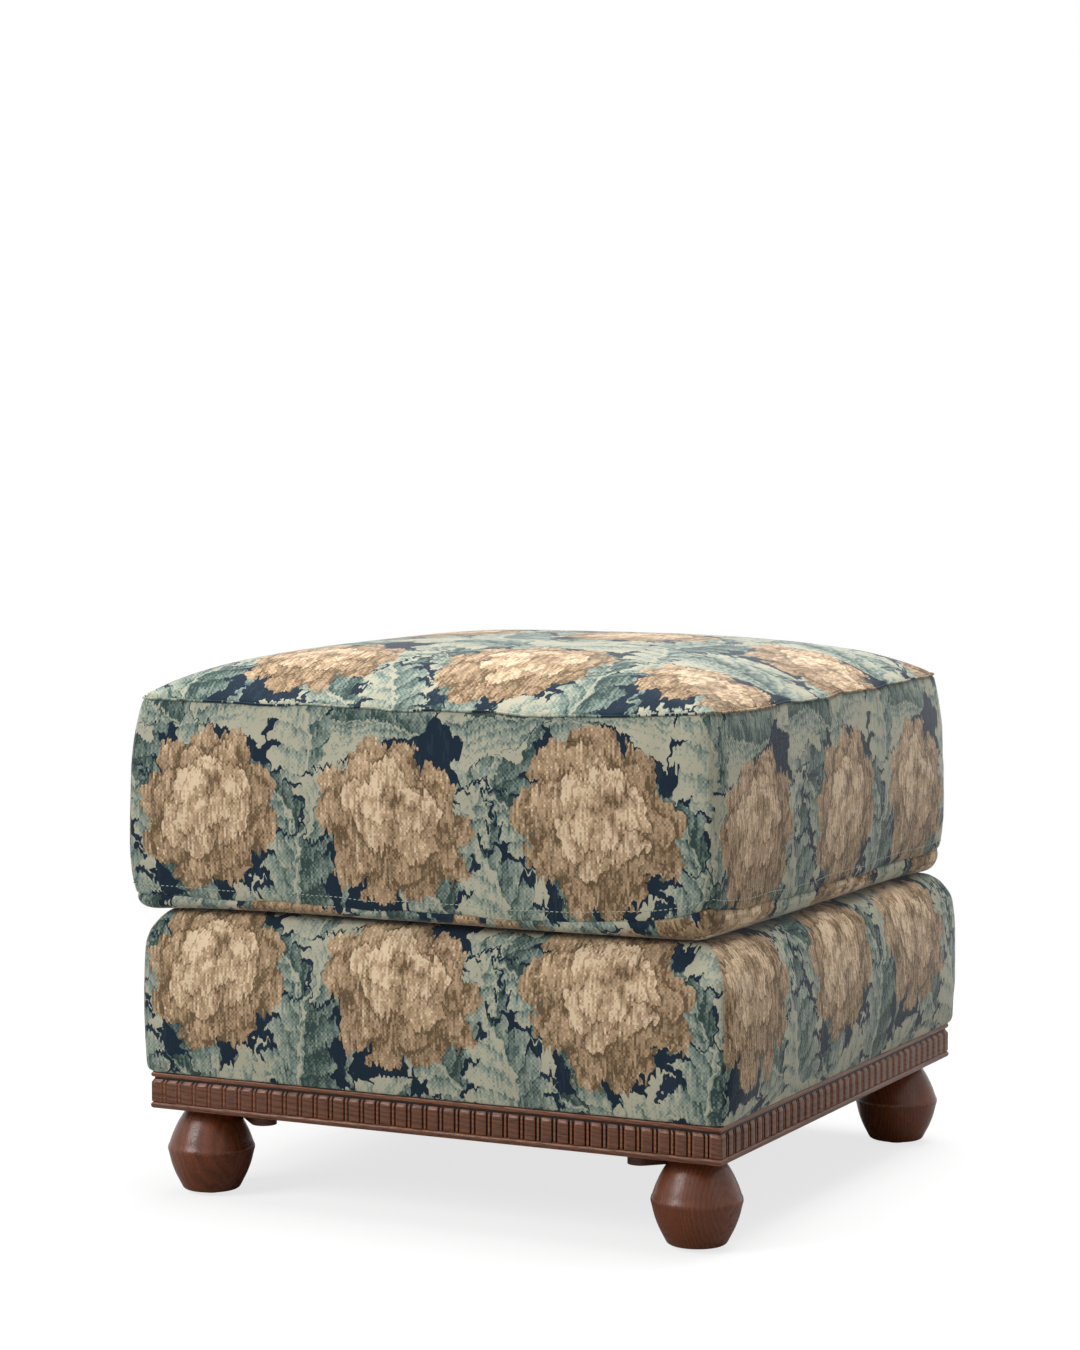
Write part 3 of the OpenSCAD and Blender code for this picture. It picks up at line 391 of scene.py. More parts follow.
def tapestry_finish():
    """Jacquard tapestry of wool and cotton: long floats of few yarn colours, so every tone is a mix of
    streaks along the warp, outlines are jagged like flames, and the surface is matt with a soft bloom."""
    finish, tree = new_finish("jacquard tapestry")
    cloth = add(tree, "UVMap", uv_map="cut")
    cloth = add(tree, "VectorMath SCALE", {0: cloth, 3: 1 / MM})
    warp, step, streak, twill, yarn = woven_yarn(tree, cloth)
    along, leaf_up, bloom_up = drawn_places(tree, cloth, step)
    leaf_yarn = add(tree, "Math MULTIPLY_ADD", twill, 0.08, yarn)
    # Ground, leaves, blooms
    tone = add(tree, "Math MULTIPLY", streak, 0.08)
    leaf = leaf_group()
    for middle_along, middle_up, angle, length, half_width, bend, teeth, shade in LEAVES:
        tone = add(tree, "Group", {
            "Tone": tone, "Along": along, "Up": leaf_up, "Yarn": leaf_yarn, "Middle along": middle_along,
            "Middle up": middle_up, "Angle": math.radians(angle), "Length": length,
            "Half width": half_width, "Bend": bend, "Teeth": teeth, "Shade": shade}, node_tree=leaf)
    ring = petal_ring_group()
    for (middle_along, middle_up), rings in BLOOMS:
        for radius, petals, turn, ruffle, shade, rise in rings:
            tone = add(tree, "Group", {
                "Tone": tone, "Along": along, "Up": bloom_up, "Yarn": yarn, "Middle along": middle_along,
                "Middle up": middle_up + rise, "Radius": radius, "Petals": petals / 2, "Turn": turn,
                "Ruffle": ruffle, "Shade": shade}, node_tree=ring)
    colour = add(tree, "ValToRGB", tone, steps=YARNS)
    # Yarn is dyed unevenly, so the colour drifts a little over a hand's width
    drift = add(tree, "TexNoise", {"Vector": cloth, "Scale": 0.03, "Detail": 3.0}, noise_dimensions="2D")
    drift = add(tree, "MapRange", drift, 0.3, 0.7, 0.93, 1.06)
    colour = add(tree, "VectorMath SCALE", {0: colour, 3: drift})
    # Warp ribs and the floats that stand proud of them
    rib = add(tree, "Math MULTIPLY", warp, math.tau)
    rib = add(tree, "Math COSINE", rib)
    height = add(tree, "Math MULTIPLY_ADD", rib, -0.22, yarn)
    return lay_surface(finish, colour, (0.42, 0.5 * MM, height), {
        "Roughness": 0.88, "Specular IOR Level": 0.15, "Sheen Weight": 0.5, "Sheen Roughness": 0.27})


# Wood

def wood_finish(name, grain_axis, tones, ring_width, roughness, coat, figure=1.0, gloss=0.5, carved=False):
    """Sawn and planed wood. Growth rings show as long bands along grain_axis and the open pores of the
    spring wood as short dark dashes; a stain sinks deeper into both. Carved wood is dark in its grooves,
    where stain gathers and painted shade darkens them further, and paler on the edges beside them, which
    are rubbed and also given a painted highlight. figure says how strongly the rings show, coat and gloss
    how much polish lies on the wood and how bright the wood itself is."""
    finish, tree = new_finish(name)
    spot = add(tree, "TexCoord").outputs["Object"]
    shrink = [1.0, 1.0, 1.0]
    shrink[grain_axis] = 0.09
    # Growth rings, drawn out along the grain and bent as a tree grows
    bent = add(tree, "VectorMath MULTIPLY", spot, shrink)
    sway = add(tree, "TexNoise", {"Vector": bent, "Scale": 26.0, "Detail": 3.0})
    band = add(tree, "VectorMath ADD", bent, (0.31, 0.17, 0.23))
    band = add(tree, "VectorMath LENGTH", band).outputs["Value"]
    band = add(tree, "Math MULTIPLY", band, 1.0 / ring_width)
    band = add(tree, "Math MULTIPLY_ADD", sway, 5.5, band)
    band = add(tree, "Math FRACT", band)
    # Pores, 0.45 mm across and 9 mm long
    pore_size = [1 / (0.45 * MM)] * 3
    pore_size[grain_axis] = 1 / (9 * MM)
    pore = add(tree, "VectorMath MULTIPLY", spot, pore_size)
    pore = add(tree, "TexNoise", {"Vector": pore, "Scale": 1.0, "Detail": 2.0})
    pore = add(tree, "MapRange", pore, 0.56, 0.68)
    cloud = add(tree, "TexNoise", {"Vector": bent, "Scale": 60.0, "Detail": 4.0})
    tone = add(tree, "Math MULTIPLY", band, 0.42 * figure)
    tone = add(tree, "Math MULTIPLY_ADD", cloud, 0.75, tone)
    colour = add(tree, "ValToRGB", tone, stops=((0.22, tones[1]), (0.58, tones[2]), (0.86, tones[1])))
    colour = add(tree, "Mix", {0: pore, 6: colour, 7: linear(tones[0])}, data_type="RGBA").outputs[2]
    if carved:
        # Painted shade in the grooves, over the stain that gathers there, and a painted highlight on the
        # rubbed edges beside them
        cut = add(tree, "Attribute", attribute_name="cut_depth").outputs["Fac"]
        rub = add(tree, "ValToRGB", cut, stops=(
            (0.10, "#C4C4C4"), (0.22, "#FFFFFF"), (0.75, "#EFEFEF"), (0.93, "#565656"), (1.0, "#3C3C3C")))
        colour = add(tree, "Mix", {0: 1.0, 6: colour, 7: rub}, data_type="RGBA", blend_type="MULTIPLY")
        colour = colour.outputs[2]
    height = add(tree, "Math MULTIPLY_ADD", pore, -1.0, cloud)
    rough = add(tree, "MapRange", cloud, 0.3, 0.7, roughness - 0.06, roughness + 0.08)
    return lay_surface(finish, colour, (0.35, 0.3 * MM, height), {
        "Roughness": rough, "Coat Weight": coat, "Coat Roughness": 0.28, "IOR": 1.5,
        "Specular IOR Level": gloss})


# Metals, plastics, cloths and fillings

def metal_finish(name, colour, tarnish, roughness):
    """Small stamped or turned hardware: a bright metal with faint scratches, duller where it is handled."""
    finish, tree = new_finish(name)
    spot = add(tree, "TexCoord").outputs["Object"]
    # A film of tarnish in patches of about 4 mm, and scratches a sixth of a millimetre wide
    film = add(tree, "TexNoise", {"Vector": spot, "Scale": 260.0, "Detail": 4.0})
    film = add(tree, "MapRange", film, 0.42, 0.66)
    scratch = add(tree, "VectorMath MULTIPLY", spot, (900.0, 6000.0, 6000.0))
    scratch = add(tree, "TexNoise", {"Vector": scratch, "Scale": 1.0, "Detail": 2.0})
    skin = add(tree, "Mix", {0: film, 6: linear(colour), 7: linear(tarnish)}, data_type="RGBA").outputs[2]
    rough = add(tree, "MapRange", scratch, 0.3, 0.7, roughness - 0.08, roughness + 0.12)
    return lay_surface(finish, skin, (0.2, 0.1 * MM, scratch), {"Roughness": rough, "Metallic": 1.0})


def moulded_finish(name, colour, worn, roughness):
    """Moulded nylon: an even dark plastic with a fine spark texture, paler where it is rubbed."""
    finish, tree = new_finish(name)
    spot = add(tree, "TexCoord").outputs["Object"]
    spark = add(tree, "TexNoise", {"Vector": spot, "Scale": 2200.0, "Detail": 2.0})
    rub = add(tree, "TexNoise", {"Vector": spot, "Scale": 140.0, "Detail": 4.0})
    rub = add(tree, "MapRange", rub, 0.5, 0.72, 0.0, 0.6)
    skin = add(tree, "Mix", {0: rub, 6: linear(colour), 7: linear(worn)}, data_type="RGBA").outputs[2]
    rough = add(tree, "MapRange", spark, 0.3, 0.7, roughness - 0.05, roughness + 0.1)
    return lay_surface(finish, skin, (0.25, 0.1 * MM, spark), {"Roughness": rough})


# Real loops lie 1.5 mm apart; they are drawn half as wide again, to show at the picture's scale
COIL_PITCH = 2.3 * MM


def coil_finish():
    """The closed coil of a zip: loops of nylon thread side by side, with a painted highlight on their tops
    and painted shade between them.
    """
    finish, tree = new_finish("nylon coil")
    spot = add(tree, "SeparateXYZ", add(tree, "TexCoord").outputs["Object"])
    turn = add(tree, "Math MULTIPLY", spot.outputs[0], math.tau / COIL_PITCH)
    loop = add(tree, "Math SINE", turn)
    fuzz = add(tree, "TexNoise", {"Vector": add(tree, "TexCoord").outputs["Object"], "Scale": 900.0})
    # Painted highlight on each loop's top and painted shade between the loops
    tone = add(tree, "Math MULTIPLY_ADD", fuzz, 0.5, loop)
    colour = add(tree, "ValToRGB", tone, stops=((0.0, "#1B2322"), (0.45, "#46524F"), (1.0, "#7C8780")))
    return lay_surface(finish, colour, (0.7, 0.4 * MM, loop), {"Roughness": 0.38})


def plain_weave_finish(name, tones, thread, slub=0.4, plane=(0, 1)):
    """Plain weave, one thread over and one under: a small chequer of threads, with thicker slubs here
    and there. thread is the spacing in metres; plane names the two axes in which the cloth lies."""
    finish, tree = new_finish(name)
    spot = add(tree, "SeparateXYZ", add(tree, "TexCoord").outputs["Object"])
    waves = []
    for axis in plane:
        turn = add(tree, "Math MULTIPLY", spot.outputs[axis], math.pi / thread)
        waves.append(add(tree, "Math SINE", turn))
    over = add(tree, "Math MULTIPLY", waves[0], waves[1])
    drift = add(tree, "CombineXYZ", spot.outputs[plane[0]], spot.outputs[plane[1]])
    yarns = []
    for across, along in ((0.08, 0.9), (0.9, 0.08)):
        yarn = add(tree, "VectorMath MULTIPLY", drift, (across / thread, along / thread, 0))
        yarns.append(add(tree, "TexNoise", {"Vector": yarn, "Scale": 1.0, "Detail": 2.0}))
    yarn = add(tree, "Math ADD", *yarns)
    tone = add(tree, "Math MULTIPLY_ADD", over, 0.22, 0.5)
    uneven = add(tree, "Math SUBTRACT", yarn, 1.0)
    tone = add(tree, "Math MULTIPLY_ADD", uneven, slub, tone)
    colour = add(tree, "ValToRGB", tone, stops=((0.1, tones[0]), (0.5, tones[1]), (0.9, tones[2])))
    return lay_surface(finish, colour, (0.5, 0.4 * thread, tone), {"Roughness": 0.92, "Sheen Weight": 0.1})


def filling_finish(name, tones, cell, roughness):
    """Cut foam or loose wadding: pale, matt and pitted at the size of its cells or tufts."""
    finish, tree = new_finish(name)
    spot = add(tree, "TexCoord").outputs["Object"]
    pit = add(tree, "TexVoronoi", {"Vector": spot, "Scale": 1.0 / cell})
    cloud = add(tree, "TexNoise", {"Vector": spot, "Scale": 35.0, "Detail": 4.0})
    tone = add(tree, "Math MULTIPLY_ADD", pit, 0.45, cloud)
    colour = add(tree, "ValToRGB", tone, stops=((0.35, tones[0]), (0.85, tones[1])))
    return lay_surface(finish, colour, (0.6, 0.4 * cell, pit), {
        "Roughness": roughness, "Subsurface Weight": 0.08, "Subsurface Radius": (0.01, 0.008, 0.005)})


def thread_finish():
    """Twisted sewing thread, pale sage: two plies that show as a fine slant along each stitch."""
    finish, tree = new_finish("sewing thread")
    spot = add(tree, "TexCoord").outputs["Object"]
    ply = add(tree, "TexWave", {"Vector": spot, "Scale": 700.0, "Distortion": 1.5},
              bands_direction="DIAGONAL")
    colour = add(tree, "ValToRGB", ply, stops=((0.1, "#7C877A"), (0.8, "#A9B1A0")))
    return lay_surface(finish, colour, (0.4, 0.1 * MM, ply), {"Roughness": 0.7, "Sheen Weight": 0.2})


TURNED_OAK = {
    "tones": ("#210E08", "#4A240E", "#703A1E"), "ring_width": 2.8 * MM, "roughness": 0.27, "coat": 0.04,
    "figure": 0.9, "gloss": 0.32,
}
CARVED_OAK = {
    "tones": ("#28140B", "#5F3826", "#88573D"), "ring_width": 2.6 * MM, "roughness": 0.34, "coat": 0.05,
    "gloss": 0.26, "carved": True,
}
OAK_STAIN = ("#21100A", "#3C1F15", "#5A3324")
FINISHES = {
    "tapestry": tapestry_finish(),
    "turned_oak": wood_finish("stained oak, turned", 2, **TURNED_OAK),
    "carved_oak": wood_finish("stained oak, carved", 0, **CARVED_OAK),
    "brace_oak": wood_finish("stained oak, sawn", 0, OAK_STAIN, 3.0 * MM, 0.62, 0.0),
    "pine": wood_finish("planed pine", 2, ("#A9835A", "#C9A878", "#DDC39A"), 4.5 * MM, 0.62, 0.0),
    "plywood": wood_finish("birch plywood", 0, ("#A5855C", "#CDB084", "#DFC9A3"), 6.0 * MM, 0.58, 0.0),
    "beech": wood_finish("turned beech", 2, ("#A97E57", "#CFA67C", "#DDBB95"), 2.4 * MM, 0.5, 0.0, 0.6),
    "nylon": moulded_finish("moulded nylon", "#1D1B1B", "#4A4643", 0.48),
    "zip_coil": coil_finish(),
    "zinc_steel": metal_finish("zinc-plated steel", "#A9ABA8", "#6F7370", 0.34),
    "brass": metal_finish("antiqued brass", "#9C7B45", "#4E3C22", 0.36),
    "jute_webbing": plain_weave_finish("jute webbing", ("#6F5733", "#A28557", "#C4A879"), 2.4 * MM),
    "hessian": plain_weave_finish("hessian", ("#6A5534", "#A38A5F", "#C6AE82"), 1.8 * MM, 0.6),
    "lining_linen": plain_weave_finish("lining linen", ("#6D6557", "#8C8271", "#A79C88"), 0.9 * MM),
    "cambric": plain_weave_finish("black cambric", ("#131416", "#232528", "#3A3C3F"), 0.9 * MM, 0.3),
    "zip_tape": plain_weave_finish("zip tape", ("#2F3B3B", "#4B5957", "#6C7A75"), 0.8 * MM, 0.3, (0, 2)),
    "foam": filling_finish("cut foam", ("#D9CC9C", "#EFE6C2"), 1.2 * MM, 0.95),
    "fibre": filling_finish("polyester wadding", ("#DDDCD6", "#F5F4F0"), 3.5 * MM, 1.0),
}
THREAD = thread_finish()
# The side rails' grain runs across that of the front and back ones
RAIL_ACROSS = wood_finish("stained oak, carved, side rails", 1, **CARVED_OAK)


# Meshes

def in_scene(name, data):
    """An object that holds some data, linked into the scene."""
    thing = bpy.data.objects.new(name, data)
    bpy.context.scene.collection.objects.link(thing)
    return thing


def new_piece(name, points, faces, slot, finish=None, cut=None):
    """A piece from points and faces, with its finish and, where it is cloth, its place in the cut."""
    mesh = bpy.data.meshes.new(name)
    mesh.from_pydata([tuple(p) for p in np.asarray(points, dtype=float)], [], [tuple(f) for f in faces])
    mesh.polygons.foreach_set("use_smooth", np.ones(len(mesh.polygons), dtype=bool))
    if cut is not None:
        corners = np.empty(len(mesh.loops), dtype=np.int32)
        mesh.loops.foreach_get("vertex_index", corners)
        layer = mesh.uv_layers.new(name="cut")
        layer.data.foreach_set("uv", np.asarray(cut, dtype=np.float32)[corners].ravel())
    mesh.materials.append(finish or FINISHES[slot])
    mesh.update()
    piece = in_scene(name, mesh)
    return piece


def stand_for(piece, body, nodes):
    """The piece rides on a body and stands for solids of the frame."""
    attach(piece, body)
    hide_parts(*nodes)


def band_faces(upper, lower, closed=True):
    """Quads between two rows of point numbers; upper lies above lower, seen from outside."""
    count = len(upper) if closed else len(upper) - 1
    after = [(i + 1) % len(upper) for i in range(count)]
    return [(lower[i], lower[after[i]], upper[after[i]], upper[i]) for i in range(count)]


def ring_numbers(start, count, around=AROUND):
    """Point numbers of rings that follow one another from start on."""
    return [list(range(start + i * around, start + (i + 1) * around)) for i in range(count)]


def ring_faces(rings):
    """Quads between closed rings of point numbers, from the top down."""
    return sum((band_faces(upper, lower) for upper, lower in zip(rings, rings[1:])), [])


def net_faces(rows, width, upward=False, tube=False):
    """Quads of a net of rows, from the top down or upward. A tube joins its last row to its first and has
    flat ends."""
    faces = []
    for row in range(rows if tube else rows - 1):
        here = [row * width + i for i in range(width)]
        after = [(row + 1) % rows * width + i for i in range(width)]
        faces += band_faces(after, here, closed=False) if upward else band_faces(here, after, closed=False)
    if tube:
        loop = [row * width for row in range(rows)]
        loop = loop if upward else loop[::-1]
        faces.append(tuple(loop))
        faces.append(tuple(start + width - 1 for start in reversed(loop)))
    return faces


def net_panel(name, net, cut):
    """A panel of tapestry from a net of points, its rows from the top down."""
    faces = net_faces(*net.shape[:2])
    return new_piece(name, net.reshape(-1, 3), faces, "tapestry", cut=cut.reshape(-1, 2))


def read_points(mesh):
    """The points of a mesh in rows of x, y and z."""
    flat = np.empty(len(mesh.vertices) * 3)
    mesh.vertices.foreach_get("co", flat)
    return flat.reshape(-1, 3)


def sharpen(piece, degrees):
    """Keeps edges that turn by more than this crisp, and all others smooth."""
    mesh = bmesh.new()
    mesh.from_mesh(piece.data)
    for edge in mesh.edges:
        edge.smooth = len(edge.link_faces) == 2 and edge.calc_face_angle(0) < math.radians(degrees)
    mesh.to_mesh(piece.data)
    mesh.free()


# Plan of a padded form: directions run round the edge of a unit square

def directions(half_side=HALF_SIDE):
    """The directions of the stations round a cover, from the front left corner, anticlockwise."""
    run = np.arange(-half_side, half_side) / half_side
    ones = np.ones_like(run)
    return np.concatenate([run, ones, -run, -ones]), np.concatenate([-ones, run, ones, -run])


def side_stations(k, half_side=HALF_SIDE):
    """Numbers of the stations along one side of a cover, both its corners included."""
    return [(k * 2 * half_side + i) % (8 * half_side) for i in range(2 * half_side + 1)]


def square_grid(half_count):
    """Directions in rows and columns over the whole square, and how far out each lies."""
    run = np.arange(-half_count, half_count + 1) / half_count
    a, b = np.meshgrid(run, run)
    return a, b, np.maximum(np.abs(a), np.abs(b))


def rim_numbers(half_count, start=0):
    """Point numbers round the edge of a square grid, in the order of directions()."""
    side = 2 * half_count
    width = side + 1
    front = [start + i for i in range(side)]
    right = [start + i * width + side for i in range(side)]
    back = [start + side * width + side - i for i in range(side)]
    left = [start + (side - i) * width for i in range(side)]
    return front + right + back + left


def grid_faces(half_count, start=0, facing_up=True):
    """Quads of a square grid."""
    width = 2 * half_count + 1
    faces = []
    for row in range(width - 1):
        for column in range(width - 1):
            corner = start + row * width + column
            face = (corner, corner + 1, corner + width + 1, corner + width)
            faces.append(face if facing_up else face[::-1])
    return faces


def on_ring(a, b, half, radius, bow=0):
    """Plan places on a rounded rectangle with bowed sides. a and b are directions, half its two half
    sizes; the back keeps straight for the zip."""
    a, b = np.asarray(a, dtype=float), np.asarray(b, dtype=float)
    lengthwise = np.abs(b) >= np.abs(a)
    share = np.where(lengthwise, a, b) / np.maximum(np.maximum(np.abs(a), np.abs(b)), 1e-9)
    length = np.where(lengthwise, half[0], half[1])
    reach = np.where(lengthwise, half[1], half[0])
    radius = np.minimum(radius, np.minimum(half[0], half[1]))
    run = length - radius
    way = np.abs(share) * (run + math.pi / 4 * radius)
    turn = np.clip((way - run) / np.maximum(radius, 1e-9), 0, math.pi / 4)
    bow = np.where(lengthwise & (b > 0), 0, bow)
    out = bow * (1 - np.minimum(way / np.maximum(run, 1e-9), 1) ** 2)
    u = np.sign(share) * (np.minimum(way, run) + radius * np.sin(turn))
    v = reach - radius + radius * np.cos(turn) + out
    return np.where(lengthwise, u, np.sign(a) * v), np.where(lengthwise, np.sign(b) * v, u)


def corner_share(a, b):
    """1 at a corner, falling to 0 along the sides."""
    small = np.minimum(np.abs(a), np.abs(b)) / np.maximum(np.maximum(np.abs(a), np.abs(b)), 1e-9)
    return small ** 5


def by_corner(a, b, sizes):
    """Of one size for each corner, the one that belongs to the corner nearest to each direction."""
    return sum(size * ((np.sign(a) == x) & (np.sign(b) == y)) for (x, y), size in zip(CORNERS, sizes))


def side_way(points):
    """Each station's distance along its own side of the cover, from the middle of that side."""
    step = np.linalg.norm(np.diff(np.vstack([points, points[:1]])[:, :2], axis=0), axis=1)
    way = np.concatenate([[0], np.cumsum(step)])
    ends = [k * 2 * HALF_SIDE for k in range(5)]
    return [way[low:high + 1] - (way[low] + way[high]) / 2 for low, high in zip(ends, ends[1:])]


# Form of the loose cushion

# How far its seams lie above their level, at the corners and at the middle of each side, and where each
# one's waver starts. The waver is of slow and quick waves, so many round the cushion.
HIGH_SEAM = ((-3.5 * MM, 3.0 * MM, 1.0 * MM, -1.0 * MM), (-4.0 * MM, 0.0, 0.0, -2.0 * MM), 0.7)
LOW_SEAM = ((-5.0 * MM, 13.5 * MM, 4.0 * MM, 2.0 * MM), (-5.5 * MM, 4.0 * MM, 0.0, -3.0 * MM), 2.1)
SEAM_WAVER = 0.9 * MM
SEAM_WAVES = (13, 29)
QUICK_WAVES = 0.6

# How far each stuffed corner of the cushion stands out beyond the box, at the top seam, a third of the
# way down and at the bottom seam
EARS = (
    (5.0 * MM, 9.5 * MM, 13.0 * MM), (0.2 * MM, 1.0 * MM, 1.0 * MM),
    (-4.0 * MM, 1.0 * MM, 4.5 * MM), (0.6 * MM, 3.0 * MM, 3.0 * MM),
)
EAR_FALL = (0, 0.33, 1)

# How far the rounded strip under each corner droops over the base's shoulder
DROOP = (5 * MM, 0, 4 * MM, 3 * MM)


def on_cushion(a, b, x, y, z, fall, ear_share):
    """Points of the cushion from plan places about its middle, with its corners' stuffing pushed out by
    ear_share of what it is at this fall down the boxing."""
    push = by_corner(a, b, [np.interp(fall, EAR_FALL, sizes) for sizes in EARS])
    push = push * corner_share(a, b) * math.sqrt(0.5)
    x, y = x + push * np.sign(a) * ear_share, y + push * np.sign(b) * ear_share
    return np.stack([x + CUSHION_MIDDLE[0], y + CUSHION_MIDDLE[1], z], axis=-1)


def seam_drift(a, b, seam):
    """The wandering of a seam: it is pulled up or down at the corners and wavers along the sides."""
    corners, sides, phase = seam
    near = corner_share(a, b)
    lengthwise = np.abs(b) >= np.abs(a)
    side = np.where(lengthwise, np.where(b < 0, sides[0], sides[2]), np.where(a > 0, sides[1], sides[3]))
    around = np.arctan2(b, a)
    slow, quick = (np.sin(count * around + turn) for count, turn in zip(SEAM_WAVES, (phase, 2 * phase)))
    waver = SEAM_WAVER * (slow + QUICK_WAVES * quick) * (1 - near)
    return near * by_corner(a, b, corners) + (1 - near) * side + waver


def crown_place(a, b, share):
    """A point of the top panel: share is 0 in the middle of the cushion and 1 at its seam."""
    share = np.broadcast_to(np.asarray(share, dtype=float), np.shape(a))
    half = np.multiply.outer(CUSHION_HALF, share)
    radius = CUSHION_CORNER * share + CUSHION_HALF.min() * (1 - share ** 6) * CROWN_ROUND
    x, y = on_ring(a, b, half, radius, SEAM_BOW * share)
    edge = CROWN_EDGE - LEFT_CORNERS_FULLER * corner_share(a, b) * (a < 0)
    rise = CROWN * (1 - share ** CROWN_FLAT) ** edge
    z = SEAM_HIGH + rise + share ** 8 * seam_drift(a, b, HIGH_SEAM)
    return on_cushion(a, b, x, y, z, fall=0, ear_share=share ** 8)


def boxing_place(a, b, fall):
    """A point of the boxing: fall is 0 at the top seam and 1 at the bottom seam."""
    bulge = 1 - abs(2 * fall - 1) ** 4
    radius = CUSHION_CORNER + (BOXING_CORNER - CUSHION_CORNER) * bulge
    x, y = on_ring(a, b, CUSHION_HALF + BOXING_SWELL * bulge, radius, SEAM_BOW)
    high = SEAM_HIGH + seam_drift(a, b, HIGH_SEAM)
    low = SEAM_LOW + seam_drift(a, b, LOW_SEAM)
    z = high + (low - high) * fall
    # The zip keeps the back straight
    at_back = (b > 0) & (np.abs(b) >= np.abs(a))
    straight = SEAM_HIGH + (SEAM_LOW - SEAM_HIGH) * fall
    steady = (1 - abs(2 * fall - 1)) * (1 - corner_share(a, b))
    z = np.where(at_back, z + (straight - z) * steady, z)
    return on_cushion(a, b, x, y, z, fall, ear_share=1)


def under_place(a, b, turn):
    """A point of the strip under the cushion: turn is 0 at the bottom seam, 90 degrees at the flat."""
    back = UNDER_WIDTH * (1 - math.cos(turn) ** UNDER_FULLNESS)
    radius = max(CUSHION_CORNER - back, LEAST_CORNER)
    x, y = on_ring(a, b, CUSHION_HALF - back, radius, SEAM_BOW * math.cos(turn))
    low = SEAM_LOW + seam_drift(a, b, LOW_SEAM)
    z = DECK + (low - DECK) * (1 - math.sin(turn) ** UNDER_FULLNESS)
    z = z - by_corner(a, b, DROOP) * corner_share(a, b) * max(0, math.sin(2 * turn))
    return on_cushion(a, b, x, y, z, fall=1, ear_share=math.cos(turn))


# Cloth

CLOTH_FRAMES = 20


def settle(points, faces, hold, pressure, cap, stiffness):
    """Lets a skin of cloth fill out between the points that are held, as stuffing presses it out, and
    gives its points. hold runs from 0, free, to 1, held; cap is the farthest that each point may move."""
    skin = new_piece("skin", points, faces, "tapestry")
    rest = settled = read_points(skin.data)
    hold = np.round(hold, 2)
    group = skin.vertex_groups.new(name="held")
    for level in np.unique(hold[hold > 0]):
        group.add(np.nonzero(hold == level)[0].tolist(), float(level), "REPLACE")
    cloth = skin.modifiers.new("cloth", "CLOTH")
    rules = cloth.settings
    rules.quality = 6
    rules.mass = 0.25
    rules.vertex_group_mass = "held"
    rules.pin_stiffness = 1.0
    rules.tension_stiffness = stiffness
    rules.compression_stiffness = stiffness
    rules.shear_stiffness = stiffness / 3
    rules.bending_stiffness = 0.6
    rules.use_pressure = True
    rules.uniform_pressure_force = pressure
    rules.effector_weights.gravity = 0
    cloth.point_cache.frame_start = 1
    cloth.point_cache.frame_end = CLOTH_FRAMES
    scene = bpy.context.scene
    for step in range(1, CLOTH_FRAMES + 1):
        scene.frame_set(step)
    depsgraph = bpy.context.evaluated_depsgraph_get()
    settled = read_points(skin.evaluated_get(depsgraph).data)
    skin.modifiers.clear()
    scene.frame_set(1)
    bpy.data.objects.remove(skin)
    moved = settled - rest
    far = np.linalg.norm(moved, axis=1)
    return rest + moved * np.minimum(1, cap / np.maximum(far, 1e-9))[:, None]


def hold_corners(hold, rings, level):
    """Holds the seams down the corners by at least level."""
    for ring in rings:
        corners = ring[::2 * HALF_SIDE]
        hold[corners] = np.maximum(hold[corners], level)


def smooth_piece(piece):
    """Rounds the panel between its points and keeps the finer mesh."""
    smoother = piece.modifiers.new("smooth", "SUBSURF")
    smoother.levels = 1
    smoother.render_levels = 1
    depsgraph = bpy.context.evaluated_depsgraph_get()
    made = bpy.data.meshes.new_from_object(piece.evaluated_get(depsgraph), depsgraph=depsgraph)
    made.name = piece.data.name
    made.polygons.foreach_set("use_smooth", np.ones(len(made.polygons), dtype=bool))
    piece.modifiers.clear()
    piece.data = made


# How fast puckers follow one another along a seam, to the metre
PUCKER_WAVE = 70.0


def sew_edges(piece, depth, reach, flange, pucker, seed):
    """Turns a panel's edges in to its seams: the cloth dips by depth towards the seam, from about reach
    away, puckers a little beside it, and goes on inside as a seam allowance as wide as flange."""
    mesh = bmesh.new()
    mesh.from_mesh(piece.data)
    mesh.normal_update()
    rim = [v for v in mesh.verts if v.is_boundary]
    tree = KDTree(len(rim))
    for i, vert in enumerate(rim):
        tree.insert(vert.co, i)
    tree.balance()
    shifts = {}
    for vert in mesh.verts:
        place, _, far = tree.find(vert.co)
        near = math.exp(-(far / reach) ** 2)
        wave = noise.noise(place * PUCKER_WAVE + Vector((seed, 0, 0)))
        puff = pucker * wave * math.exp(-(far / (4 * reach)) ** 2) * (1 - near)
        shifts[vert] = vert.normal * (puff - depth * near)
    inward = {vert: -vert.normal for vert in rim}
    for vert, shift in shifts.items():
        vert.co += shift
    made = bmesh.ops.extrude_edge_only(mesh, edges=[edge for edge in mesh.edges if edge.is_boundary])
    for vert in (item for item in made["geom"] if isinstance(item, bmesh.types.BMVert)):
        source = next(e.other_vert(vert) for e in vert.link_edges if e.other_vert(vert) in inward)
        vert.co += inward[source] * flange
    mesh.to_mesh(piece.data)
    mesh.free()
    piece.data.update()


# The loose cushion

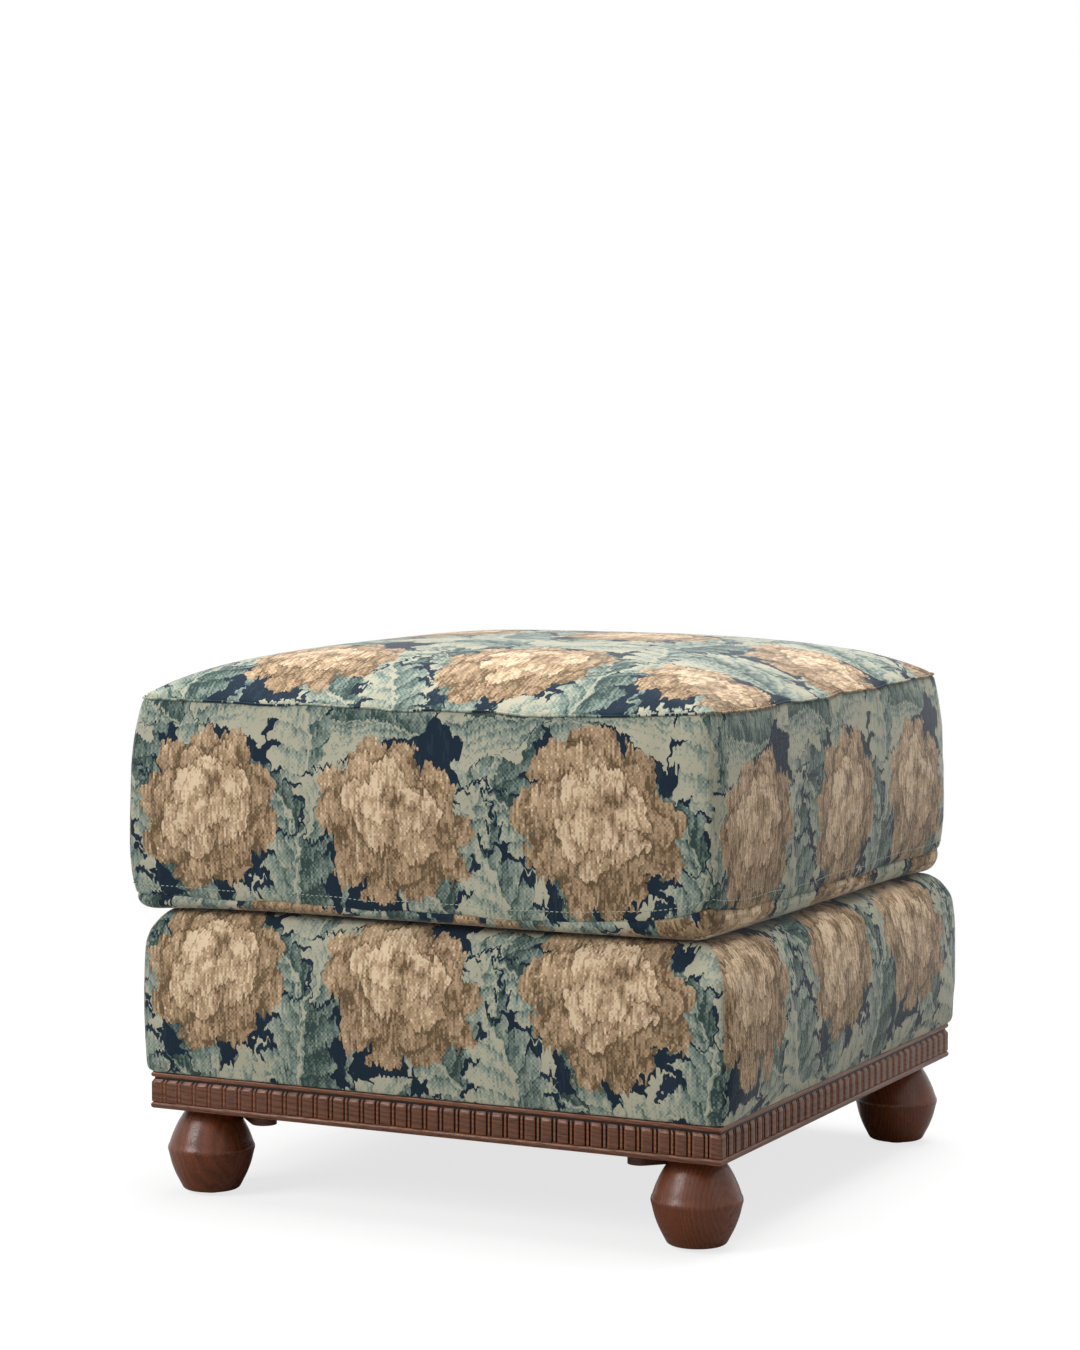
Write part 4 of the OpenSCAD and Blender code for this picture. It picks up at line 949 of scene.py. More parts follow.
# Rows from the grid of the top panel down to the top seam, as shares, and down the boxing and the
# rounded strip under it, close together by the seams
TOP_GRID_SHARE = 0.935
TOP_ROWS = (0.952, 0.966, 0.978, 0.988, 0.995)
BOXING_ROWS = (0, 0.012, 0.035, 0.07, 0.12, 0.18, 0.25, 0.33, 0.415, 0.46, 0.485, 0.5,
               0.515, 0.54, 0.585, 0.67, 0.75, 0.82, 0.88, 0.93, 0.965, 0.988, 1)
UNDER_ROWS = (4, 12, 24, 38, 54, 72, 90)
MIDDLE_ROW = BOXING_ROWS.index(0.5)
FIRST_BOXING = 1 + len(TOP_ROWS)
LAST_BOXING = FIRST_BOXING + len(BOXING_ROWS) - 1

# The farthest that stuffing presses the cloth out
CROWN_GAIN = 2.5 * MM
BOXING_GAIN = 5 * MM

# Where each panel was cut from the cloth, in metres, so that the design breaks at the seams
CUT_FROM = {
    "top": (0.030, 0.055), "bottom": (0.210, 0.078),
    "front": (0.286, 0.026), "right": (0.090, 0.030), "back": (0.150, 0.036), "left": (0.236, 0.020),
}


def crown_stretch(share):
    """How much longer the way over the crown is than the plan, from the middle to share."""
    steps = np.linspace(0, 1, 400)
    rise = CROWN * (1 - steps ** CROWN_FLAT) ** CROWN_EDGE
    way = np.concatenate([[0], np.cumsum(np.hypot(np.diff(steps) * CUSHION_HALF[0], np.diff(rise)))])
    return np.interp(share, steps, way) / np.maximum(share * CUSHION_HALF[0], 1e-6)


def cushion_skin():
    """The cushion's cover as one skin that fills out: its points, the numbers of its rings of points from
    the rim of the top's grid down, and each grid point's share of the way out to the seam."""
    a, b = directions()
    grid_a, grid_b, share = square_grid(HALF_SIDE)
    share = share * TOP_GRID_SHARE
    rows = [crown_place(a, b, row) for row in TOP_ROWS]
    rows += [boxing_place(a, b, fall) for fall in BOXING_ROWS]
    rows += [under_place(a, b, math.radians(turn)) for turn in UNDER_ROWS]
    points = np.vstack([crown_place(grid_a, grid_b, share).reshape(-1, 3)] + rows)
    rings = [rim_numbers(HALF_SIDE)] + ring_numbers(share.size, len(rows))
    # The two seams are held, the strip under the cushion more and more towards the flat, and the back
    # along its zip
    hold = np.zeros(len(points))
    for ring in [rings[FIRST_BOXING], rings[LAST_BOXING]] + rings[LAST_BOXING + 4:]:
        hold[ring] = 1
    hold[rings[LAST_BOXING + 2]] = 0.4
    hold[rings[LAST_BOXING + 3]] = 0.7
    hold_corners(hold, rings[FIRST_BOXING:LAST_BOXING + 1], 0.6)
    zip_row = FIRST_BOXING + MIDDLE_ROW
    for ring in rings[zip_row - 2:zip_row + 3]:
        hold[[ring[s] for s in side_stations(SIDES.index("back"))]] = 1
    cap = np.full(len(points), BOXING_GAIN)
    cap[:share.size] = CROWN_GAIN
    # The crown starts lower by most of what it gains
    points[:share.size, 2] -= 0.8 * CROWN_GAIN * (1 - share.ravel() ** 6)
    faces = grid_faces(HALF_SIDE) + ring_faces(rings)
    return settle(points, faces, hold, pressure=5.0, cap=cap, stiffness=12), rings, share


def make_top_panel(points, rings, share):
    """The top panel, down to its seam, with only the skin's points that it uses."""
    rings = rings[:FIRST_BOXING + 1]
    used = list(range(share.size)) + sum(rings[1:], [])
    share = np.concatenate([share.ravel(), np.repeat(TOP_ROWS + (1.0,), AROUND)])
    cut = (points[used, :2] - CUSHION_MIDDLE) * crown_stretch(share)[:, None] + CUT_FROM["top"]
    faces = grid_faces(HALF_SIDE) + ring_faces(rings)
    return new_piece("cushion_top_cover", points[used], faces, "tapestry", cut=cut)


def make_boxing(points, rings):
    """The boxing, one length for each side, and two at the back on either side of the zip."""
    rows = rings[FIRST_BOXING:LAST_BOXING + 1]
    halves = {"back_upper": rows[:MIDDLE_ROW + 1], "back_lower": rows[MIDDLE_ROW:]}
    along = side_way(boxing_place(*directions(), 0.5))
    pieces, nets = {}, {}
    for k, side in enumerate(SIDES):
        stations = side_stations(k)
        for label, some_rows in (halves if side == "back" else {side: rows}).items():
            net = points[[[row[s] for s in stations] for row in some_rows]]
            opening = np.clip((ZIP_END - np.abs(net[0, :, 0] - CUSHION_MIDDLE[0])) / ZIP_TAPER, 0, 1)
            if label == "back_upper":
                net[-1, :, 2] += ZIP_HALF_GAP * opening
            if label == "back_lower":
                net[0, :, 2] -= ZIP_HALF_GAP * opening
            cut = np.empty(net.shape[:2] + (2,))
            cut[..., 0] = along[k] + CUT_FROM[side][0]
            cut[..., 1] = net[..., 2] - SEAM_LOW + CUT_FROM[side][1]
            pieces["boxing_" + label] = net_panel("cushion_boxing_cover_" + label, net, cut)
            nets[label] = net
    return pieces, nets


def make_bottom_panel(points, rings):
    """The bottom panel: the flat that lies on the deck and the rounded strip round it. The strip's cut is
    measured over its curve, at the middle of the front."""
    a, b, share = square_grid(HALF_SIDE)
    x, y = on_ring(a, b, np.multiply.outer(CUSHION_HALF - UNDER_WIDTH, share), LEAST_CORNER)
    flat = on_cushion(a, b, x, y, np.full_like(x, DECK), fall=1, ear_share=0).reshape(-1, 3)
    strip = [points[ring] for ring in rings[LAST_BOXING:-1]]
    points = np.vstack([flat] + strip)
    rings = ring_numbers(len(flat), len(strip)) + [rim_numbers(HALF_SIDE)]
    line = np.array([row[HALF_SIDE] for row in strip] + [flat[HALF_SIDE]])
    reach = CUSHION_MIDDLE[1] - line[:, 1]
    steps = np.linalg.norm(np.diff(line, axis=0), axis=1)
    length = reach[-1] + np.concatenate([np.cumsum(steps[::-1])[::-1], [0]])
    stretch = np.concatenate([np.ones(len(flat)), np.repeat((length / reach)[:-1], AROUND)])
    cut = (points[:, :2] - CUSHION_MIDDLE) * stretch[:, None] + CUT_FROM["bottom"]
    faces = grid_faces(HALF_SIDE, facing_up=False) + ring_faces(rings)
    return new_piece("cushion_bottom_cover", points, faces, "tapestry", cut=cut)


def make_cushion():
    """The cushion's cover: one skin, cut into the panels that are sewn together. Gives the nets of points
    of the boxing's panels."""
    points, rings, share = cushion_skin()
    make_seam_ridge(points[rings[FIRST_BOXING]])
    panels = {"top_panel": make_top_panel(points, rings, share)}
    boxing, nets = make_boxing(points, rings)
    panels |= boxing | {"bottom_panel": make_bottom_panel(points, rings)}
    for count, (label, piece) in enumerate(panels.items()):
        smooth_piece(piece)
        sew_edges(piece, depth=1.3 * MM, reach=2.6 * MM, flange=2.5 * MM, pucker=0.9 * MM, seed=count * 7)
        stand_for(piece, "cushion", ["cushion_" + label])
    return nets


RIDGE_RADIUS = 1.0 * MM
RIDGE_UNEVEN = 0.25
RIDGE_WAVE = 90
RIDGE_SINK = 0.1
RIDGE_SIDES = 8


def make_seam_ridge(seam):
    """The top seam: the edges of the panel and the boxing turned together, a thin ridge of the cloth."""
    ahead = np.roll(seam, -1, axis=0) - np.roll(seam, 1, axis=0)
    ahead /= np.linalg.norm(ahead, axis=1, keepdims=True)
    out = np.cross(ahead, [0, 0, 1.0])
    out /= np.linalg.norm(out, axis=1, keepdims=True)
    rise = np.cross(out, ahead)
    thick = [1 + RIDGE_UNEVEN * noise.noise(Vector(place) * RIDGE_WAVE) for place in seam]
    thick = RIDGE_RADIUS * np.array(thick)
    points = []
    for turn in np.linspace(0, math.tau, RIDGE_SIDES, endpoint=False):
        side = out * math.cos(turn) + rise * math.sin(turn)
        points.append(seam + (out - rise) * RIDGE_SINK * RIDGE_RADIUS + side * thick[:, None])
    rings = ring_numbers(0, RIDGE_SIDES)
    cut = np.tile(seam[:, :2] - CUSHION_MIDDLE + CUT_FROM["top"], (RIDGE_SIDES, 1))
    faces = ring_faces((rings + rings[:1])[::-1])
    ridge = new_piece("cushion_top_seam", np.vstack(points), faces, "tapestry", cut=cut)
    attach(ridge, "cushion")


STITCH = 3.3 * MM
STITCH_PITCH = 4.6 * MM
THREAD_RADIUS = 0.42 * MM
# Along a stitch: how far, how thick, and how high its middle lies, in shares of its length and radius
STITCH_FORM = ((0, 0.45, -0.7), (0.2, 0.9, 0.1), (0.5, 1.0, 0.45), (0.8, 0.9, 0.1), (1, 0.45, -0.7))
THREAD_SIDES = 6


def stitches(name, line, outward):
    """A line of topstitching: short rounded dashes of thread that bed into the cloth at their ends."""
    way = np.concatenate([[0], np.cumsum(np.linalg.norm(np.diff(line, axis=0), axis=1))])
    turns = np.linspace(0, math.tau, THREAD_SIDES, endpoint=False)
    points, faces = [], []
    for start in np.arange(2 * MM, way[-1] - STITCH, STITCH_PITCH):
        marks = [np.array([np.interp(start + f * STITCH, way, line[:, axis]) for axis in range(3)])
                 for f, size, rise in STITCH_FORM]
        tangent = marks[-1] - marks[0]
        tangent /= np.linalg.norm(tangent)
        out = np.array([np.interp(start + STITCH / 2, way, outward[:, axis]) for axis in range(3)])
        out -= tangent * np.dot(out, tangent)
        out /= np.linalg.norm(out)
        side = np.cross(tangent, out)
        rings = ring_numbers(len(points), len(marks), THREAD_SIDES)
        faces += ring_faces(rings)
        faces += [tuple(rings[0]), tuple(reversed(rings[-1]))]
        for mark, (f, size, rise) in zip(marks, STITCH_FORM):
            middle, radius = mark + out * THREAD_RADIUS * rise, THREAD_RADIUS * size
            points += [middle + (out * math.cos(t) + side * math.sin(t)) * radius for t in turns]
    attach(new_piece(name, points, faces, "tapestry", finish=THREAD), "cushion")


def make_topstitching(nets):
    """A line of stitching 6 mm above the bottom seam all round, and one on each side of the zip."""
    # Each line's panel, the row of points above it and its share of the way to the next row
    lines = [("topstitching_" + side, side, -4, 0.55) for side in ("front", "right", "left", "back_lower")]
    lines += [("zip_stitching_upper", "back_upper", -3, 0.1), ("zip_stitching_lower", "back_lower", 1, 0.9)]
    for name, label, row, share in lines:
        above, below = nets[label][row], nets[label][row + 1]
        line = above * (1 - share) + below * share
        out = np.cross(below - above, np.gradient(line, axis=0))
        stitches(name, line, out / np.linalg.norm(out, axis=1, keepdims=True))


# The upholstered base

# Rows of the cover from the top down: how far in the border's lie from the plinth's face, the shoulder's
# and the tuck's turns in degrees, and the belly's shares of the way between them
BORDER_ROWS = (BORDER, 52 * MM, 44 * MM, 37 * MM, 31 * MM, 27 * MM)
SHOULDER_TURNS = (90, 78, 66, 54, 42, 30, 18, 8)
SHOULDER_HOLD = (0.95, 0.9, 0.85, 0.8, 0.7, 0.55, 0.35, 0.15)
BELLY_ROWS = (0, 0.07, 0.16, 0.27, 0.39, 0.5, 0.61, 0.73, 0.84, 0.93, 1)
TUCK_TURNS = (-12, -28, -44, -60, -76, -90)
BASE_CUT_FROM = {
    "front": (0.290, 0.200), "right": (0.120, 0.190), "back": (0.050, 0.205), "left": (0.210, 0.195),
}


def base_rows():
    """Sections of the base's cover, as distance out from the plinth's face and height, from the border
    on the deck over the shoulder and the belly to the tuck on the plinth."""
    side = BASE_SWELL - BASE_SWELL_DROP
    top, low = DECK - SHOULDER[1], PLINTH_TOP + TUCK[1]
    rows = [(-d, DECK) for d in BORDER_ROWS]
    for turn in SHOULDER_TURNS:
        t = math.radians(turn)
        rows.append((side - SHOULDER[0] + SHOULDER[0] * math.cos(t), top + SHOULDER[1] * math.sin(t)))
    for f in BELLY_ROWS:
        rows.append((side + (BASE_SWELL_DROP - 1 * MM) * (1 - (2 * f - 1) ** 2), top + (low - top) * f))
    for turn in TUCK_TURNS:
        t = math.radians(turn)
        rows.append((side - TUCK[0] + TUCK[0] * math.cos(t) ** TUCK_FULLNESS, low + TUCK[1] * math.sin(t)))
    return rows + [(-d, PLINTH_TOP + 0.1 * MM) for d in (4 * MM, 10 * MM)]


def shoulder_pull(z):
    """How far the corner seams pull the shoulder down at a height; the border on the deck stays flat."""
    heights = (DECK - 1.5 * SHOULDER[1], DECK - 0.35 * SHOULDER[1], DECK - 0.5 * MM)
    return CORNER_PULL * np.interp(z, heights, (0, 1, 0))


def make_base():
    """The base's cover, filled out by the foam under it, in four panels with seams down the corners."""
    a, b = directions()
    section = base_rows()
    rows = []
    for out, z in section:
        corner = np.interp(z, (DECK - SHOULDER[1], DECK), (BELLY_CORNER, BASE_CORNER))
        x, y = on_ring(a, b, (PLINTH_HALF + out, PLINTH_HALF + out), max(corner + out, LEAST_CORNER))
        rows.append(np.stack([x, y, z - shoulder_pull(z) * corner_share(a, b)], axis=-1))
    rings = ring_numbers(0, len(rows))
    # The border on the deck is held, and the tuck on the plinth
    hold = np.zeros(AROUND * len(rows))
    for ring in rings[:len(BORDER_ROWS) + 1] + rings[-4:]:
        hold[ring] = 1
    for ring, level in zip(rings[len(BORDER_ROWS) + 1:], SHOULDER_HOLD):
        hold[ring] = level
    hold_corners(hold, rings, 0.7)
    points = settle(np.vstack(rows), ring_faces(rings), hold, pressure=3.5, cap=4 * MM, stiffness=14)
    fall = -np.cumsum([0] + [math.dist(*ends) for ends in zip(section, section[1:])])
    along = side_way(points[rings[len(rows) // 2]])
    spread = (PLINTH_HALF + np.array([out for out, z in section])) / (PLINTH_HALF + BASE_SWELL)
    for k, side in enumerate(SIDES):
        net = points[[[ring[s] for s in side_stations(k)] for ring in rings]]
        cut = np.empty(net.shape[:2] + (2,))
        cut[..., 0] = along[k] * spread[:, None] + BASE_CUT_FROM[side][0]
        cut[..., 1] = fall[:, None] + BASE_CUT_FROM[side][1]
        piece = net_panel("base_cover_" + side + "_cloth", net, cut)
        smooth_piece(piece)
        sew_edges(piece, depth=1.0 * MM, reach=2.4 * MM, flange=2.0 * MM, pucker=0.8 * MM, seed=40 + 9 * k)
        stand_for(piece, "base", ["base_cover_" + side])


# The carved plinth

# In millimetres: heights of the section above the rail's foot, widths along the carving, how far each
# part stands back from the rail's face, and how its edges are rounded
BEAD = 6.0
BAND_TOP = 26.0
COVE_TOP = 27.5
RAIL = 32.5
BLOCK = 9.8
FIN = 2.4
BLOCK_COUNT = 36
RAIL_WIDTH = 62.0
BLOCK_BACK = 0.25
FIN_BACK = 0.55
GROOVE = 2.3
COVE = 2.7
LIP_BACK = 0.35
BEAD_ROUND = 2.9
BLOCK_ROUND = 1.1
FIN_ROUND = 1.15
BAND_FOOT_ROUND = 0.8
LIP_ROUND = 2.2
SAW_WAVER = 0.06

SECTION_HEIGHTS = (
    0, 0.25, 0.8, 1.7, 3.0, 4.3, 5.2, 5.75, 6.0, 6.05, 6.25, 6.8, 8.0, 11, 15, 19, 22, 22.8, 23.1, 23.5,
    24.1, 24.8, 25.4, 25.8, 26.0, 26.2, 27.2, 27.4, 27.55, 27.9, 28.7, 30.0, 31.3, 32.1, 32.4, RAIL)
# The top of each block and fin slopes back
SLOPE_FROM = 22.9
SLOPE_BACK = 1.9
SLOPE_CURVE = 1.25
# Places along a block and a fin, close together at their edges, and the foot of a groove's wall
BLOCK_STATIONS = (0, 0.12, 0.45, 1.1, 3.2, 4.9, 6.6, 8.7, 9.35, 9.68, BLOCK)
FIN_STATIONS = (0, 0.15, 0.5, 1.2, 1.9, 2.25, FIN)
WALL_FOOT = 0.08


def rounded_back(place, low, high, radius):
    """How far a rounded edge stands back: 0 in the middle of low to high and radius at its ends."""
    near = min(place - low, high - place)
    if near >= radius:
        return 0.0
    return radius - math.sqrt(max(radius ** 2 - (radius - near) ** 2, 0))


def carving_stations():
    """Stations along one repeat of the carving from the start of a block, in millimetres, with what is
    there: how far a block's or a fin's face stands back, or None for the groove's floor."""
    groove = ((2 * PLINTH_HALF / MM - BLOCK) / (BLOCK_COUNT - 1) - BLOCK - FIN) / 2
    floor = (WALL_FOOT, groove / 2, groove - WALL_FOOT)
    stations = [(x, BLOCK_BACK + rounded_back(x, 0, BLOCK, BLOCK_ROUND)) for x in BLOCK_STATIONS]
    stations += [(BLOCK + x, None) for x in floor]
    start = BLOCK + groove
    stations += [(start + x, FIN_BACK + rounded_back(x, 0, FIN, FIN_ROUND)) for x in FIN_STATIONS]
    start += FIN
    return stations + [(start + x, None) for x in floor], start + groove


def rail_depth(height, face):
    """How far the rail stands back at a height, where a block or fin has its face there, or None."""
    if height <= BEAD:
        return rounded_back(height, 0, BEAD, BEAD_ROUND)
    if height <= BAND_TOP:
        if face is None:
            return GROOVE
        foot = rounded_back(height, BEAD, 2 * BAND_TOP, BAND_FOOT_ROUND)
        slope = SLOPE_BACK * max(0, (height - SLOPE_FROM) / (BAND_TOP - SLOPE_FROM)) ** SLOPE_CURVE
        return min(GROOVE, face + foot + slope)
    if height < COVE_TOP:
        return COVE
    return LIP_BACK + rounded_back(height, COVE_TOP, RAIL, LIP_ROUND)


def make_plinth():
    """Four mitred rails: a bead, a band of carved blocks and fins, a cove and a lip."""
    repeat, pitch = carving_stations()
    half = PLINTH_HALF / MM
    inner = half - RAIL_WIDTH
    stations = [(i * pitch - half + x, face) for i in range(BLOCK_COUNT) for x, face in repeat]
    along = np.array([x for x, face in stations if x <= half + 0.01])
    faces_at = [face for x, face in stations][:len(along)]
    depth = np.array([[rail_depth(height, face) for face in faces_at] for height in SECTION_HEIGHTS])
    rows = [np.stack([along * (half - back) / half, back - half, np.full_like(back, height)], axis=-1)
            for height, back in zip(SECTION_HEIGHTS, depth)]
    back_face = along * inner / half, np.full_like(along, -inner)
    rows += [np.stack([*back_face, np.full_like(along, height)], axis=-1) for height in (RAIL, 0)]
    # Stain gathers in the grooves and painted shade darkens them; the rail's inner faces count as shallow
    # ones
    stain_and_shade = np.minimum(np.concatenate([depth.ravel(), np.full(2 * len(along), 0.4)]) / GROOVE, 1)
    for k, side in enumerate(SIDES):
        net = np.array(rows)
        net[1:len(SECTION_HEIGHTS) - 1, :, 1] += [
            SAW_WAVER * noise.noise(Vector((x * 0.11, k * 5.0, 0))) for x in along]
        points = net.reshape(-1, 3) * MM
        points[:, 2] += PLINTH_LOW
        points = points @ np.array(Matrix.Rotation(math.pi / 2 * k, 3, "Z")).T
        piece = new_piece("carved_rail_" + side, points, net_faces(*net.shape[:2], upward=True, tube=True),
                          "carved_oak", finish=RAIL_ACROSS if k % 2 else FINISHES["carved_oak"])
        piece.data.attributes.new("cut_depth", "FLOAT", "POINT").data.foreach_set("value", stain_and_shade)
        sharpen(piece, degrees=50)
        stand_for(piece, "base", ["plinth_rail_" + side])


# Turned feet, in millimetres

FOOT_TOP = 19.5
FOOT_HEIGHT = 76.5
FOOT_RIDGE = (38.0, 39.3)
FOOT_RIDGE_ROUND = 6.5
FOOT_FLAT = 21.5
FOOT_EDGE = 4.5
FOOT_BASE = 3.0
FOOT_BELLIES = (1.6, 1.9)
FOOT_STEPS = 96
# Turns of the outline's two arcs, in degrees
FOOT_EDGE_TURNS = (-90, -20)
FOOT_RIDGE_TURNS = (-25, 34)
TOOL_RING = 0.05


def foot_arc(middle, radius, turns):
    """Places on an arc of the foot's outline, its turns in degrees."""
    return [(middle[0] + radius * math.cos(math.radians(t)), middle[1] + radius * math.sin(math.radians(t)))
            for t in turns]


def foot_cone(low, high, belly):
    """Places along a slightly bellied cone from one place of the outline to another, both ends included."""
    radius, height = high[0] - low[0], high[1] - low[1]
    return [(low[0] + radius * f + belly * math.sin(math.pi * f), low[1] + height * f)
            for f in np.linspace(0, 1, 9)]


def foot_outline():
    """Outline of a foot from its flat to its top, as radius and height."""
    edge = foot_arc((FOOT_FLAT, FOOT_BASE + FOOT_EDGE), FOOT_EDGE, np.linspace(*FOOT_EDGE_TURNS, 9))
    ridge = foot_arc((FOOT_RIDGE[0] - FOOT_RIDGE_ROUND, FOOT_RIDGE[1]), FOOT_RIDGE_ROUND,
                     np.linspace(*FOOT_RIDGE_TURNS, 10))
    lower = foot_cone(edge[-1], ridge[0], FOOT_BELLIES[0])[1:-1]
    upper = foot_cone(ridge[-1], (FOOT_TOP, FOOT_HEIGHT), FOOT_BELLIES[1])[1:]
    return [(0.0, FOOT_BASE)] + edge + lower + ridge + upper + [(0.0, FOOT_HEIGHT)]


def make_feet():
    """Turned feet: a double cone with a soft ridge, cut on the lathe, with faint tool rings."""
    outline = foot_outline()
    rings = ring_numbers(0, len(outline), FOOT_STEPS)
    faces = sum((band_faces(upper, lower) for lower, upper in zip(rings, rings[1:])), [])
    faces += [tuple(reversed(rings[0])), tuple(rings[-1])]
    for label in ("front_left", "front_right", "rear_left", "rear_right"):
        low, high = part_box("foot_" + label)
        middle = (low + high) / 2
        points = []
        for row, (radius, height) in enumerate(outline):
            ring = TOOL_RING * math.sin(row * 2.3)
            reach = (radius + ring) * MM if radius else 0.2 * MM
            for t in np.linspace(0, math.tau, FOOT_STEPS, endpoint=False):
                points.append((middle.x + reach * math.cos(t), middle.y + reach * math.sin(t), height * MM))
        piece = new_piece("turned_foot_" + label, points, faces, "turned_oak")
        sharpen(piece, degrees=40)
        stand_for(piece, "base", ["foot_" + label])


# Fillings

FRAME_IN = 17.5 * MM
SIDE_FOAM_GAP = 3.0 * MM
TOP_FOAM_GAP = 2.4 * MM
FILLING_HALF_SIDE = 14
FILLING_AROUND = 8 * FILLING_HALF_SIDE
# The wadding's shares of the way out to the seam: its floor, the rows of its side and its top
DOME_FLOOR = 0.925
DOME_ROWS = (0.93, 0.91, 0.885)
DOME_TOP = 0.86
DOME_SINK = 6.5 * MM
DENT = 1.2 * MM


def stuffed_form(name, slot, low_face, rows, high_face):
    """A closed soft form: a grid below, rows of stations up its side and a grid above."""
    size = len(low_face) ** 2
    points = np.vstack([low_face.reshape(-1, 3), high_face.reshape(-1, 3)] + rows)
    rings = [rim_numbers(FILLING_HALF_SIDE)] + ring_numbers(2 * size, len(rows), FILLING_AROUND)
    rings.append(rim_numbers(FILLING_HALF_SIDE, start=size))
    faces = grid_faces(FILLING_HALF_SIDE, facing_up=False) + grid_faces(FILLING_HALF_SIDE, start=size)
    piece = new_piece(name, points, faces + ring_faces(rings[::-1]), slot)
    sharpen(piece, degrees=60)
    return piece


def slab(name, slot, half, middle, heights, corner, rounding):
    """A block of filling with rounded edges, a little dented on top and below. corner is its radius in
    plan."""
    a, b = directions(FILLING_HALF_SIDE)
    grid_a, grid_b, reach = square_grid(FILLING_HALF_SIDE)
    low, high = heights

    def flat_at(z, inward):
        """The lower or the upper face; inward is the way in which it is dented."""
        x, y = on_ring(grid_a, grid_b, np.multiply.outer(half - rounding, reach), corner * reach)
        dent = [[DENT * abs(noise.noise(Vector((p * 3, q * 3, z * 50)))) for p, q in zip(*line)]
                for line in zip(grid_a, grid_b)]
        depth = np.array(dent) * (1 - reach ** 4)
        return np.stack([x + middle[0], y + middle[1], z + inward * depth], axis=-1)

    rows = []
    for turn in np.radians((30, 60, 90)):
        back = rounding * (1 - math.sin(turn))
        x, y = on_ring(a, b, half - back, max(corner - back, 1 * MM))
        z = np.full_like(x, low + rounding * (1 - math.cos(turn)))
        rows.append(np.stack([x + middle[0], y + middle[1], z], axis=-1))
    upper = [row * (1, 1, -1) + (0, 0, low + high) for row in reversed(rows)]
    return stuffed_form(name, slot, flat_at(low, inward=1), rows + upper, flat_at(high, inward=-1))


def cushion_dome():
    """The wadding under the crown, on a flat floor at the top seam."""
    a, b = directions(FILLING_HALF_SIDE)
    grid_a, grid_b, reach = square_grid(FILLING_HALF_SIDE)
    sink = np.array([0, 0, DOME_SINK])
    rows = [crown_place(a, b, share) - sink for share in DOME_ROWS]
    rim = rows[0].copy()
    floor = crown_place(grid_a, grid_b, reach * DOME_FLOOR)
    rim[:, 2] = floor[..., 2] = SEAM_HIGH + 0.2 * MM
    dome = crown_place(grid_a, grid_b, reach * DOME_TOP) - sink
    return stuffed_form("cushion_wadding_above", "fibre", floor, [rim] + rows, dome)


def side_foam(k, deck_foam):
    """The foam on one side of the frame: it follows the cover's section inside it, and its back follows
    the frame and the deck's foam."""
    line = np.array(base_rows()[len(BORDER_ROWS):-2])
    slope = np.gradient(line, axis=0)
    inward = np.column_stack([slope[:, 1], -slope[:, 0]])
    line += inward / np.linalg.norm(inward, axis=1, keepdims=True) * SIDE_FOAM_GAP
    foot, top = PLINTH_TOP + 2 * MM, DECK - TOP_FOAM_GAP
    deck_low, deck_high = deck_foam
    deck_edge = deck_high.x - PLINTH_HALF
    section = [(out, min(max(z, foot), top)) for out, z in line]
    section += [(-FRAME_IN, foot), (-FRAME_IN, (PLINTH_TOP + DECK) / 2), (-FRAME_IN, deck_low.z)]
    section += [(deck_edge, deck_low.z), (deck_edge, top)]
    a, b = directions(FILLING_HALF_SIDE)
    stations = side_stations(k, FILLING_HALF_SIDE)
    rows = []
    for out, z in section:
        x, y = on_ring(a, b, (PLINTH_HALF + out, PLINTH_HALF + out), max(BASE_CORNER + out, LEAST_CORNER))
        pulled = out > -SHOULDER[0] and z > DECK - 1.5 * SHOULDER[1]
        z = z - CORNER_PULL * pulled * corner_share(a, b)
        rows.append(np.stack([x, y, z], axis=-1)[stations])
    faces = net_faces(len(rows), len(stations), tube=True)
    piece = new_piece("base_side_foam_" + SIDES[k], np.vstack(rows), faces, "foam")
    sharpen(piece, degrees=50)
    return piece


def make_fillings():
    """Foam and wadding inside the cushion, foam on the deck and on the frame's sides."""
    heights = [corner.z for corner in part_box("cushion_foam_core")]
    core = slab("cushion_foam_block", "foam", CUSHION_HALF - 5 * MM, CUSHION_MIDDLE, heights,
                corner=18 * MM, rounding=12 * MM)
    heights = (DECK + 2.2 * MM, SEAM_LOW - 0.2 * MM)
    below = slab("cushion_wadding_below", "fibre", CUSHION_HALF - UNDER_WIDTH / 2, CUSHION_MIDDLE, heights,
                 corner=8 * MM, rounding=6 * MM)
    stand_for(core, "cushion", ["cushion_foam_core"])
    stand_for(below, "cushion", ["cushion_fibre_bottom"])
    stand_for(cushion_dome(), "cushion", ["cushion_fibre_top"])
    deck_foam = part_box("deck_foam")
    heights = [corner.z for corner in deck_foam]
    deck = slab("deck_foam_sheet", "foam", np.array(deck_foam[1].xy), (0, 0), heights,
                corner=3 * MM, rounding=2.5 * MM)
    stand_for(deck, "base", ["deck_foam"])
    for k, side in enumerate(SIDES):
        stand_for(side_foam(k, deck_foam), "base", ["base_foam_" + side])


# The sheets of plain cloth

# The dust cover's corners are cut off where x and y add up to this, to clear the corner braces
DUST_COVER_CUT = 390.4 * MM
SHEET_HALF_COUNT = 24


